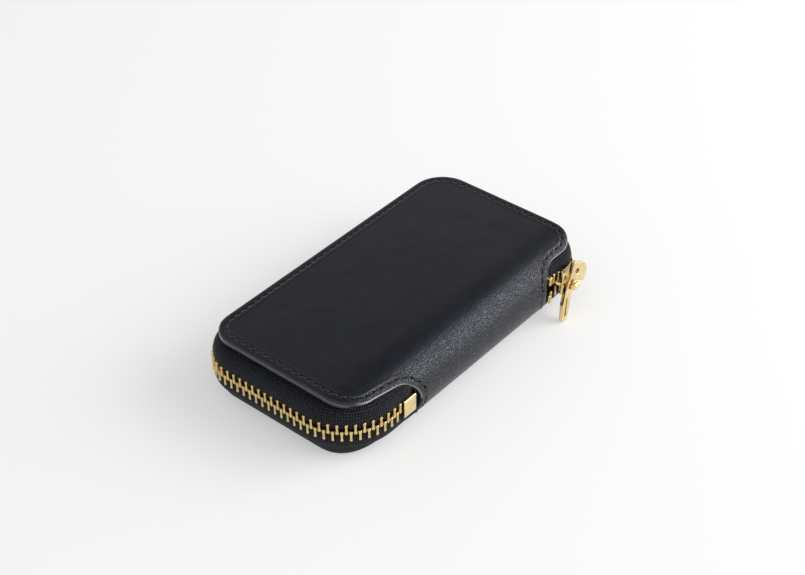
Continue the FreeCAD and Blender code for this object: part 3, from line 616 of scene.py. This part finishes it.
# Zip tape: two strips of black polyester tape, woven in a herringbone and folded out from under each cover.
# Each is sewn flat to the lining, swells out past the cover's edge, and tucks in behind the strap.
front_y, side_x, zip_corner = -29.5, 55.2, 10.8
end_x, end_front, end_back = 55.8, 17.0, 11.2
zip_start, zip_end = -27.7, 34.3
tape_thickness, tape_edge = 0.6, 0.9
parting_lead, parting_slope, parting_most = 1.0, 0.22, 2.0
zip_legs = (
    (zip_start + end_x - end_front, (zip_start, front_y), (-1, 0), 0.0),
    (math.pi / 2 * end_front, (end_front - end_x, front_y + end_front), -90.0, end_front),
    (-2 * front_y - end_front - end_back, (-end_x, front_y + end_front), (0, 1), 0.0),
    (math.pi / 2 * end_back, (end_back - end_x, -front_y - end_back), 180.0, end_back),
    (side_x + end_x - zip_corner - end_back, (end_back - end_x, -front_y), (1, 0), 0.0),
    (math.pi / 2 * zip_corner, (side_x - zip_corner, -front_y - zip_corner), 90.0, zip_corner),
    (-2 * front_y - 2 * zip_corner, (side_x, -front_y - zip_corner), (0, -1), 0.0),
    (math.pi / 2 * zip_corner, (side_x - zip_corner, front_y + zip_corner), 0.0, zip_corner),
    (side_x - zip_corner - zip_end, (side_x - zip_corner, front_y), (-1, 0), 0.0),
)
zip_length = sum(leg[0] for leg in zip_legs)
slider_turn, turn_x, turn_y, turn_radius = math.radians(8.0), 43.3, -17.8, 11.7
slider_spot = Vector((turn_x + turn_radius * math.sin(slider_turn),
                      turn_y - turn_radius * math.cos(slider_turn), roll_z))
slider_s = zip_length - slider_spot.x + zip_end


def zip_at(s):
    """A point of the zip's line, in mm, and the direction out of the case there."""
    for leg in zip_legs:
        length, start, way, radius = leg
        if s <= length or leg is zip_legs[-1]:
            break
        s -= length
    if not radius:
        return Vector((start[0] + way[0] * s, start[1] + way[1] * s, 0)), Vector((-way[1], way[0], 0))
    turn = math.radians(way) - s / radius
    out = Vector((math.cos(turn), math.sin(turn), 0))
    return Vector((start[0], start[1], 0)) + out * radius, out


def rows_apart(s):
    """How far each row stands off the middle where the slider has opened the zip."""
    return min(max(s - slider_s + parting_lead, 0.0) * parting_slope, parting_most)


def herringbone():
    """Woven tape: fine twill ribs that turn back and forth in narrow columns along its length; its colour
    follows the relief, with painted shade in the valleys and painted highlights on the ribs and fuzz.
    """
    material, tree, shader = finish("zip_tape", Specular_IOR_Level=0.12, Specular_Tint=(0.9, 0.93, 1.0, 1.0))
    uv = Wire.add(tree, "ShaderNodeUVMap", {"uv_map": "weave"})
    along = Wire.add(tree, "ShaderNodeSeparateXYZ", None, {0: uv})
    across = Wire(tree, along.socket.node.outputs[1])
    column = (across / (0.8 * MM)).math("PINGPONG", 1.0)
    rib = ((along / (0.78 * MM) + column * 0.9) * math.tau).math("SINE") * 0.5 + 0.5
    valley_relief_and_shade = (column - 0.5).math("ABSOLUTE").between(0.3, 0.5)
    place = Wire.add(tree, "ShaderNodeTexCoord", out="Object")
    fuzz = place.noisy(1300.0, Detail=3.0, Roughness=0.7)
    yarn = rib * (1.0 - valley_relief_and_shade * 0.7)
    height = yarn + fuzz * 1.4
    # Painted light: the colour is darker where the weave is low and lighter where it is high, painting shade
    # and highlight onto the black tape.
    shade = (yarn * 0.6 + fuzz * 0.8).between(0.58, 1.05)
    feed(shader,
         Base_Color=shade.tint((0.0012, 0.0013, 0.0018, 1.0), (0.05, 0.054, 0.066, 1.0)),
         Roughness=fuzz * 0.2 + 0.45,
         Normal=height.bumped(0.25 * MM, 1.0))
    return material


tape_weave = herringbone()


def tape_section(apart, tuck):
    """The tape's middle line from the sewn edge to the teeth, as (out, up) pairs from the zip's line."""
    sewn_edge, turned_by, flat_up, curve_steps = -7.0, 7.1, 7.48, 14
    line = [(sewn_edge + i * 0.68, flat_up) for i in range(5)]
    knots = ((-3.6, flat_up), (-0.7, flat_up), (0.9, 5.9), (0.0, tape_edge + apart))
    for i in range(1, curve_steps + 1):
        t = i / curve_steps
        pulls = ((1 - t) ** 3, 3 * t * (1 - t) ** 2, 3 * t * t * (1 - t), t ** 3)
        line.append(tuple(sum(pull * knot[k] for pull, knot in zip(pulls, knots)) for k in (0, 1)))
    return [(out - tuck * min(1.0, (turned_by + out) / 3.5), up) for out, up in line]


def tucked(s):
    """How far the tape turns in behind the strap near its two ends."""
    most = 2.6
    first = min(max((3.2 - s) / 4.6, 0.0), 1.0)
    last = min(max((s - zip_length + 2.2) / 6.0, 0.0), 1.0)
    t = max(first, last)
    return most * t * t * (3 - 2 * t)


def tape(name, sign, half_body, node):
    """One tape as a closed strip: the section is carried along the zip's line and past both of its ends."""
    past_ends, step = 7.2, 0.8
    steps = [-past_ends]
    while steps[-1] + step < zip_length + past_ends:
        steps.append(steps[-1] + step)
    verts, faces, flat = [], [], []
    for s in steps:
        point, out = zip_at(s)
        line = tape_section(rows_apart(s), tucked(s))
        run = 0.0
        sides = ([], [])
        for i, (o, u) in enumerate(line):
            before, after = line[max(i - 1, 0)], line[min(i + 1, len(line) - 1)]
            way = Vector((after[0] - before[0], after[1] - before[1])).normalized()
            run += math.hypot(o - before[0], u - before[1])
            for side, reach in zip(sides, (tape_thickness / 2, -tape_thickness / 2)):
                up = Vector((0, 0, roll_z + sign * (u + way.x * reach)))
                side.append((point + out * (o - way.y * reach) + up, (s * MM, run * MM)))
        for spot, uv in sides[0] + sides[1][::-1]:
            verts.append(spot)
            flat.append(uv)
    ring = 2 * len(line)
    for j in range(len(steps) - 1):
        for i in range(ring):
            a, b = j * ring + i, j * ring + (i + 1) % ring
            faces.append((a, a + ring, b + ring, b))
    faces += [tuple(range(ring)), tuple(reversed(range((len(steps) - 1) * ring, len(steps) * ring)))]
    obj = meshed(name, verts, [face if sign > 0 else face[::-1] for face in faces], [tape_weave])
    layer = obj.data.uv_layers.new(name="weave")
    for loop in obj.data.loops:
        layer.data[loop.index].uv = flat[loop.vertex_index]
    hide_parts(node)
    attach(obj, half_body)


tape("upper_tape_strip", 1, "top_shell", "upper_tape")
tape("lower_tape_strip", -1, "bottom_shell", "lower_tape")


# Zip teeth: brass, each one stamped, closed over the corded edge of the tape and polished.
# The two rows are half a pitch apart, so that they mesh, and they part in a V behind the slider.
tooth_pitch, tooth_count, first_tooth = 2.47, 100, 8.05


def brass(name, colour, rough):
    """Polished yellow brass with a soft uneven polish and fine scratches."""
    material, tree, shader = finish(name, Metallic=1.0)
    place = Wire.add(tree, "ShaderNodeTexCoord", out="Object")
    polish = place.noisy(600.0, Detail=4.0, Roughness=0.6)
    tarnish = place.noisy(240.0, Detail=3.0)
    darker = tuple(0.72 * c for c in colour[:3]) + (1.0,)
    feed(shader,
         Base_Color=(tarnish * 0.6 + polish * 0.4).between(0.25, 0.6).tint(darker, colour),
         Roughness=polish * 0.2 + (rough - 0.1),
         Normal=polish.bumped(0.01 * MM, 0.6))
    return material


tooth_brass = brass("tooth_brass", (0.74, 0.57, 0.25, 1.0), 0.21)


def slab(loops, profile, place):
    """A solid between two parallel faces: each profile pair is an inset from the loops and a height."""
    verts, faces = [], []
    loops = [np.array(loop, float) for loop in loops]
    sizes = [len(loop) for loop in loops]
    total = sum(sizes)
    for inset, height in profile:
        for loop in loops:
            verts += [place @ Vector((x, y, height)) for x, y in loop + inward(loop, True) * inset]
    for k in range(len(profile) - 1):
        first = k * total
        for size in sizes:
            for i in range(size):
                a, b = first + i, first + (i + 1) % size
                faces.append((a, b, b + total, a + total))
            first += size
    for k, turned in ((0, True), (len(profile) - 1, False)):
        rings = [loop + inward(loop, True) * profile[k][0] for loop in loops]
        for face in filled(rings, []):
            named = tuple(k * total + i for i in face)
            faces.append(named[::-1] if turned else named)
    return verts, faces


def eased(inset, low, high, steps=3):
    """A profile from low to high with its two rims rounded."""
    turns = [math.pi / 2 * i / steps for i in range(steps + 1)]
    lower = [(inset * (1 - math.sin(t)), low + inset * (1 - math.cos(t))) for t in turns]
    upper = [(inset * (1 - math.cos(t)), high - inset * (1 - math.sin(t))) for t in turns]
    return lower + upper


def rounded(points, radius, steps=4):
    """A closed outline with each corner rounded; radius is one number, or one for each corner."""
    loop = []
    count = len(points)
    for i, p in enumerate(points):
        r = radius[i] if isinstance(radius, list) else radius
        here, before, after = Vector(p), Vector(points[i - 1]), Vector(points[(i + 1) % count])
        one, two = before - here, after - here
        half = one.angle(two) / 2
        reach = min(r / math.tan(half), 0.48 * one.length, 0.48 * two.length)
        one.normalize()
        two.normalize()
        a, b = here + one * reach, here + two * reach
        if reach < 1e-6:
            loop.append(tuple(here))
            continue
        centre = here + (one + two).normalized() * (reach / math.cos(half))
        spread = (b - centre).angle_signed(a - centre)
        for k in range(steps + 1):
            q = Matrix.Rotation(spread * k / steps, 2) @ (a - centre)
            loop.append(tuple(centre + q))
    return loop


facing_out = Matrix(((1, 0, 0, 0), (0, 0, -1, 0), (0, 1, 0, 0), (0, 0, 0, 1)))


def tooth(name, sign, half, depth):
    """One tooth, its tip on the middle line and its two legs up the tape."""
    outline = half + [(-x, z) for x, z in reversed(half)]
    profile = [(0.2, -depth), (0.07, 0.06 - depth), (0.0, 0.24 - depth), (0.0, depth - 0.24),
               (0.07, depth - 0.06), (0.2, depth)]
    stand = facing_out if sign > 0 else Matrix.Rotation(math.pi, 4, "Y") @ facing_out
    return meshed(name, *slab([outline], profile, stand), [tooth_brass])


def teeth_tree():
    """Sets teeth at even steps along the zip's line, lifted apart behind the slider."""
    tree, given = repeat_tree("zip_row", {
        "Path": "Geometry", "Pattern": "Object", "First": "Float", "Pitch": "Float", "Side": "Float",
        "Count": "Int", "Finish": "Material"})
    curve = Wire.add(tree, "GeometryNodeMeshToCurve", None, {0: given["Path"]})
    last = given["First"] + (given["Count"] - 1.0) * given["Pitch"]
    cut = Wire.add(tree, "GeometryNodeTrimCurve", {"mode": "LENGTH"},
                   {"Curve": curve, 4: given["First"], 5: last})
    points = Wire.add(tree, "GeometryNodeResampleCurve", {"mode": "COUNT"},
                      {"Curve": cut, "Count": given["Count"]})
    reach = Wire.add(tree, "GeometryNodeSplineParameter", out="Length") + given["First"]
    open_run = (reach - (slider_s - parting_lead) * MM).math("MAXIMUM", 0.0)
    lift = (open_run * parting_slope).math("MINIMUM", parting_most * MM)
    rise = Wire.add(tree, "ShaderNodeCombineXYZ", None, {"Z": lift * given["Side"]})
    along = Wire.add(tree, "GeometryNodeInputTangent")
    kept = Wire.add(tree, "GeometryNodeCaptureAttribute", None, {"Geometry": points})
    grab = kept.socket.node
    grab.capture_items.new("VECTOR", "Along")
    tree.links.new(along.socket, grab.inputs["Along"])
    stood = Wire.add(tree, "FunctionNodeAlignRotationToVector", {"axis": "X", "pivot_axis": "Z"},
                     {"Vector": Wire(tree, grab.outputs["Along"])})
    raised = Wire.add(tree, "GeometryNodeSetPosition", None, {"Geometry": kept, "Offset": rise})
    return set_out(tree, raised, stood, given)


row_tree = teeth_tree()
line_step = 0.2
zip_line = []
for i in range(int(zip_length / line_step) + 1):
    zip_line.append(zip_at(i * line_step)[0] + Vector((0, 0, roll_z)))
tooth_half = [(0.35, -0.5), (0.51, -0.3), (0.53, 0.2), (0.42, 0.6), (0.35, 1.0), (0.35, 2.05), (0.45, 2.45),
              (0.43, 2.8), (0.27, 3.0)]
for name, sign, shift, body, node in (("upper_tooth_row", 1, 0.0, "top_shell", "upper_teeth"),
                                      ("lower_tooth_row", -1, 0.5, "bottom_shell", "lower_teeth")):
    pattern = tooth(name + "_tooth", sign, tooth_half, 1.12)
    line = path_object(name + "_line", zip_line, [(0, 0, 1)] * len(zip_line))
    row = made_by(name, line, row_tree, Pattern=pattern, First=(first_tooth + shift * tooth_pitch) * MM,
                  Pitch=tooth_pitch * MM, Side=float(sign), Count=tooth_count, Finish=tooth_brass)
    bpy.data.objects.remove(pattern)
    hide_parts(node)
    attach(row, body)


# Bottom stop: a small brass box pinched over both tapes at the left end of the strap.
# Two flat jaws are joined by a web between the edges of the tapes.
cast_brass = brass("cast_brass", (0.90, 0.71, 0.37, 1.0), 0.24)
along_x = Matrix(((0, 0, 1, 0), (1, 0, 0, 0), (0, 1, 0, 0), (0, 0, 0, 1)))
stop_place = Matrix.Translation((-34.6, front_y, roll_z)) @ along_x
jaw_up, jaw_out, web_up, web_out = 3.05, 1.6, 0.9, 0.65
stop_half = [(-jaw_out, -jaw_up), (-web_out, -jaw_up), (-web_out, -web_up), (web_out, -web_up),
             (web_out, -jaw_up), (jaw_out, -jaw_up)]
stop_corners = [0.4, 0.15, 0.15, 0.15, 0.15, 0.4]
stop_outline = rounded(stop_half + [(-x, -y) for x, y in stop_half], stop_corners * 2, 3)
stop = meshed("bottom_stop_box", *slab([stop_outline], eased(0.13, 0.0, 5.1), stop_place), [cast_brass])
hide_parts("bottom_stop")
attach(stop, "spine")


# Slider: a cast brass body, two plates joined by a post, with lips that hold the tapes in its channel.
# Its mouth faces the strap and its tail closes the rows behind it.
slider_place = Matrix.Translation(slider_spot) @ Matrix.Rotation(slider_turn, 4, "Z")
slider_faced = slider_place @ facing_out
half_run, mouth, waist, tail, lip = 5.0, 4.5, 4.1, 3.7, 0.72
waist_x, lip_start, lip_end = -1.5, -4.3, 4.2
flank = [(-half_run, -mouth), (waist_x, -waist), (half_run, -tail)]
plate_outline = rounded(flank + [(x, -y) for x, y in reversed(flank)], [1.6, 2.5, 1.6] * 2, 6)
plates, lips = ((1.5, 2.6), (-3.7, -2.6)), ((1.05, 1.75), (-2.85, -2.05))
slider_body = ([], [])


def joined(piece, more):
    """Adds another solid's points and faces to a piece."""
    verts, faces = piece
    faces += [tuple(i + len(verts) for i in face) for face in more[1]]
    verts += more[0]


for low, high in plates:
    joined(slider_body, slab([plate_outline], eased(0.28, low, high), slider_faced))
for sign in (1, -1):
    strip = [(lip_start, sign * mouth), (waist_x, sign * waist), (lip_end, sign * tail),
             (lip_end, sign * (tail - lip)), (waist_x, sign * (waist - lip)),
             (lip_start, sign * (mouth - lip))]
    strip = rounded(strip if sign < 0 else strip[::-1], 0.25, 2)
    for low, high in lips:
        joined(slider_body, slab([strip], eased(0.12, low, high, 2), slider_faced))
post = rounded([(-half_run, -0.6), (-2.7, -0.1), (-2.7, 0.1), (-half_run, 0.6)], 0.1, 2)
joined(slider_body, slab([post], [(0.0, -3.2), (0.0, 1.8)], slider_faced))
slider = meshed("zip_slider", *slider_body, [cast_brass])
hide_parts("slider_body")
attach(slider, "slider")


# Crown: the bridge cast on the slider's outer plate, which the pull hangs through.
# It is an arch on two feet with rounded shoulders, in the same brass as the slider.
bridge_outline = rounded(
    [(-3.8, 2.2), (-3.8, 5.6), (-1.7, 5.6), (-1.7, 2.2), (-0.9, 2.2), (-0.9, 6.7), (-4.6, 6.7), (-4.6, 2.2)],
    [0.0, 0.5, 0.5, 0.0, 0.0, 1.0, 1.0, 0.0], 6)
lying = Matrix(((1, 0, 0, 0), (0, -1, 0, 0), (0, 0, -1, 0), (0, 0, 0, 1)))
bridge = slab([bridge_outline], eased(0.4, -0.8, 0.8, 4), slider_place @ lying)
crown = meshed("slider_bridge", *bridge, [cast_brass])
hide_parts("slider_crown")
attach(crown, "slider")


# Pull tab: a flat brass drop with a wide head, a round hole, a window for the crown and a slim slotted tail.
# It is stamped and polished, hangs through the crown and leans until its tip is just off the table.
tab_lean, tab_twist, tab_half = math.radians(-18.0), math.radians(29.0), 0.8
tab_place = (slider_place @ Matrix.Translation((-2.5, -4.75, 0.0)) @ Matrix.Rotation(tab_twist, 4, "Y")
             @ Matrix.Rotation(tab_lean, 4, "Z"))
tab_outline = rounded(
    [(0.95, -12.2), (0.5, -7.6), (-0.5, -2.6), (0.4, -1.6), (0.5, 1.5), (3.7, 1.3),
     (3.5, 7.4), (-3.2, 7.4), (-2.9, 2.0), (-3.3, -2.5), (-2.6, -7.2), (-1.1, -12.2)],
    [0.95, 6.0, 0.8, 0.4, 0.5, 0.9, 2.6, 0.6, 9.0, 5.0, 6.0, 0.95], 8)
tail_ring = rounded([(-0.5, -10.7), (-2.2, -4.4), (-1.55, -4.4), (0.15, -10.7)], 0.25, 3)
hole_radius, hole_x, hole_up = 0.85, -0.6, 4.4
hole_ring = []
for i in range(24):
    turn = -math.tau * i / 24
    hole_ring.append((hole_x + hole_radius * math.cos(turn), hole_up + hole_radius * math.sin(turn)))
window_ring = rounded([(-2.45, -1.5), (-2.45, 1.5), (-1.1, 1.5), (-1.1, -1.5)], 0.4, 3)
tab_rings = [tab_outline, hole_ring, window_ring, tail_ring]
tab = slab(tab_rings, eased(0.25, -tab_half, tab_half), tab_place @ facing_out)
pull = meshed("zip_pull", *tab, [cast_brass])
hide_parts("pull_tab")
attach(pull, "pull")


# End clips: a brass clip closed over each tape where its row of teeth ends, behind the strap's edge.
# Each is bent from the same brass as the teeth, and is wider and thicker than a tooth.
clip_half = [(0.5, 0.0), (0.85, 0.2), (0.85, 0.9), (0.72, 1.2), (0.7, 1.8), (0.85, 2.2), (0.82, 2.6),
             (0.5, 2.9)]
clip_depth, clip_up = 1.7, 2.0
clip_spot = zip_at(zip_length - 1.55)[0]
for name, sign, body, node in (("upper_clip", 1, "top_shell", "upper_end_clip"),
                               ("lower_clip", -1, "bottom_shell", "lower_end_clip")):
    clip = tooth(name, sign, clip_half, clip_depth)
    clip.data.transform(Matrix.Translation((clip_spot + Vector((0, 0, roll_z + sign * clip_up))) * MM))
    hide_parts(node)
    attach(clip, body)


# Key plate: an angle bent from sheet brass, riveted to the lining at the left end of the bottom cover.
# Its upright holds the stems of the hooks; its finish is duller than the slider's.
plate_brass = brass("plate_brass", (0.80, 0.60, 0.27, 1.0), 0.34)
plate_profile = rounded(
    [(-45.0, 3.2), (-37.5, 3.2), (-37.5, 9.6), (-38.5, 9.6), (-38.5, 4.2), (-45.0, 4.2)],
    [0.2, 1.3, 0.3, 0.3, 0.35, 0.2], 5)
across = Matrix(((1, 0, 0, 0), (0, 0, 1, 0), (0, 1, 0, 0), (0, 0, 0, 1)))
verts, faces = slab([plate_profile], eased(0.15, -19.0, 19.0), across)
faces = [face[::-1] for face in faces]
key_plate = meshed("key_plate_angle", verts, faces, [plate_brass])
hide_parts("key_plate")
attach(key_plate, "bottom_shell")


# Rivets: two domed brass rivets, set through the foot of the plate and the lining.
# Each is turned: a plain shank with a low round head.
def turned_piece(profile, place, sides=24):
    """A solid of revolution: profile holds (radius, height) pairs, with the axis at both ends."""
    verts, faces, rings = [], [], []
    for radius, height in profile:
        if radius < 1e-6:
            rings.append([len(verts)] * sides)
            verts.append(place @ Vector((0, 0, height)))
            continue
        rings.append(list(range(len(verts), len(verts) + sides)))
        for i in range(sides):
            turn = math.tau * i / sides
            verts.append(place @ Vector((radius * math.cos(turn), radius * math.sin(turn), height)))
    for low, high in zip(rings, rings[1:]):
        for i in range(sides):
            corner = (low[i], low[(i + 1) % sides], high[(i + 1) % sides], high[i])
            faces.append(tuple(dict.fromkeys(corner)))
    return verts, faces


rivet_profile = [(0.0, 1.8), (0.9, 1.8), (0.9, 4.2), (1.7, 4.2), (1.7, 4.35), (1.5, 4.58), (1.1, 4.77),
                 (0.6, 4.87), (0.0, 4.9)]
for number, y in ((1, 16.4), (2, -16.4)):
    riveted = turned_piece(rivet_profile, Matrix.Translation((-42.4, y, 0.0)))
    rivet = meshed("rivet_%d" % number, *riveted, [plate_brass])
    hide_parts("key_rivet_%d" % number)
    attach(rivet, "bottom_shell")


# Key hooks: four flat loops of brass on turned stems that spin in the plate's upright.
# Each loop is a rounded frame with its rims eased, and its stem has a head behind the plate.
near_x, far_x, half_width, wire = -36.1, -19.1, 3.5, 1.4
stem = [(0.0, -39.6), (1.3, -39.6), (1.7, -39.4), (1.7, -38.9), (1.5, -38.7), (0.9, -38.7), (0.9, -36.4),
        (0.75, -35.6), (0.0, -35.6)]
for number, y in ((1, -13.5), (2, -4.5), (3, 4.5), (4, 13.5)):
    rings = []
    for cut, corner in ((0.0, 2.2), (wire, 1.2)):
        x0, x1, y0, y1 = near_x + cut, far_x - cut, y - half_width + cut, y + half_width - cut
        rings.append(rounded([(x0, y0), (x1, y0), (x1, y1), (x0, y1)], corner, 8))
    hook_body = slab([rings[0], rings[1][::-1]], eased(0.5, 6.9, 8.3, 4), Matrix.Identity(4))
    joined(hook_body, turned_piece(stem, Matrix.Translation((0.0, y, 7.6)) @ along_x))
    hook = meshed("hook_%d" % number, *hook_body, [plate_brass])
    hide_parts("key_hook_%d" % number)
    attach(hook, "hook_%d" % number)


# Slip pocket: a flat leather pocket on the inside of the top cover, with a thumb cut in its open edge.
# It is cut from the lining's leather, and its edges are only eased.
pocket_outline = rounded(
    [(-29.0, 17.0), (-29.0, -17.0), (29.0, -17.0), (29.0, 17.0), (8.7, 17.0), (5.8, 13.0), (-5.8, 13.0),
     (-8.7, 17.0)], [0.6, 4.0, 4.0, 0.6, 1.5, 3.0, 3.0, 1.5], 8)
pouch = slab([pocket_outline], eased(0.3, 17.8, 18.8), Matrix.Identity(4))
pocket = meshed("slip_pocket", *pouch, [lining_leather])
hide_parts("card_pocket")
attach(pocket, "top_shell")


# Table, light and camera: a pale table top that glows a little to the camera, under one large soft light.
# The walls of the room are white, with a darker patch above that keeps the top cover dark.
reach = 3000
floor = meshed("table_top", [(-reach, -reach, 0), (reach, -reach, 0), (reach, reach, 0), (-reach, reach, 0)],
               [(0, 1, 2, 3)], [])
material, tree, shader = finish("pale_table", Base_Color=(0.90, 0.90, 0.90, 1.0), Roughness=0.9,
                                Specular_IOR_Level=0.1)
floor.data.materials.append(material)
seen_by = tree.nodes.new("ShaderNodeLightPath")
rays = ("Is Camera Ray", "Is Glossy Ray", "Is Transmission Ray")
seen = sum(Wire(tree, seen_by.outputs[name]) for name in rays)
glow = Wire.add(tree, "ShaderNodeEmission", None, {"Color": (1.0, 1.0, 1.0, 1.0)})
both = Wire.add(tree, "ShaderNodeMixShader", None,
                {0: seen.clamped() * 0.37, 1: Wire(tree, shader.outputs[0]), 2: glow})
tree.links.new(both.socket, tree.nodes["Material Output"].inputs["Surface"])

lamp = bpy.data.lights.new("window", "AREA")
lamp.shape = "RECTANGLE"
lamp.size, lamp.size_y, lamp.energy = 1.1, 0.9, 15.0
window = added("window", lamp)
window.location = (0.75, -0.82, 0.62)
window.rotation_euler = (-window.location).to_track_quat("-Z", "Y").to_euler()

world = bpy.data.worlds.new("studio")
world.use_nodes = True
bpy.context.scene.world = world
sky = world.node_tree
way = Wire.add(sky, "ShaderNodeTexCoord", out="Generated")
dark_side = (0.388, 0.303, 0.870)
facing = Wire.add(sky, "ShaderNodeVectorMath", {"operation": "DOT_PRODUCT"}, {0: way, 1: dark_side}, 1)
wall = facing.between(0.83, 0.95).tint((1.0, 1.0, 1.0, 1.0), (0.11, 0.11, 0.12, 1.0))
sky.links.new(wall.socket, sky.nodes["Background"].inputs["Color"])
sky.nodes["Background"].inputs["Strength"].default_value = 0.77

lens = bpy.data.cameras.new("photo_camera")
lens.lens, lens.sensor_width, lens.sensor_fit = 71.997, 36.0, "HORIZONTAL"
lens.clip_start, lens.clip_end = 0.01, 20.0
camera = added("photo_camera", lens)
camera.location = (-0.291494, -0.245229, 0.320548)
camera.rotation_euler = (0.900444, 0.003895, -0.877471)
bpy.context.scene.camera = camera
bpy.context.scene.view_settings.view_transform = "Standard"
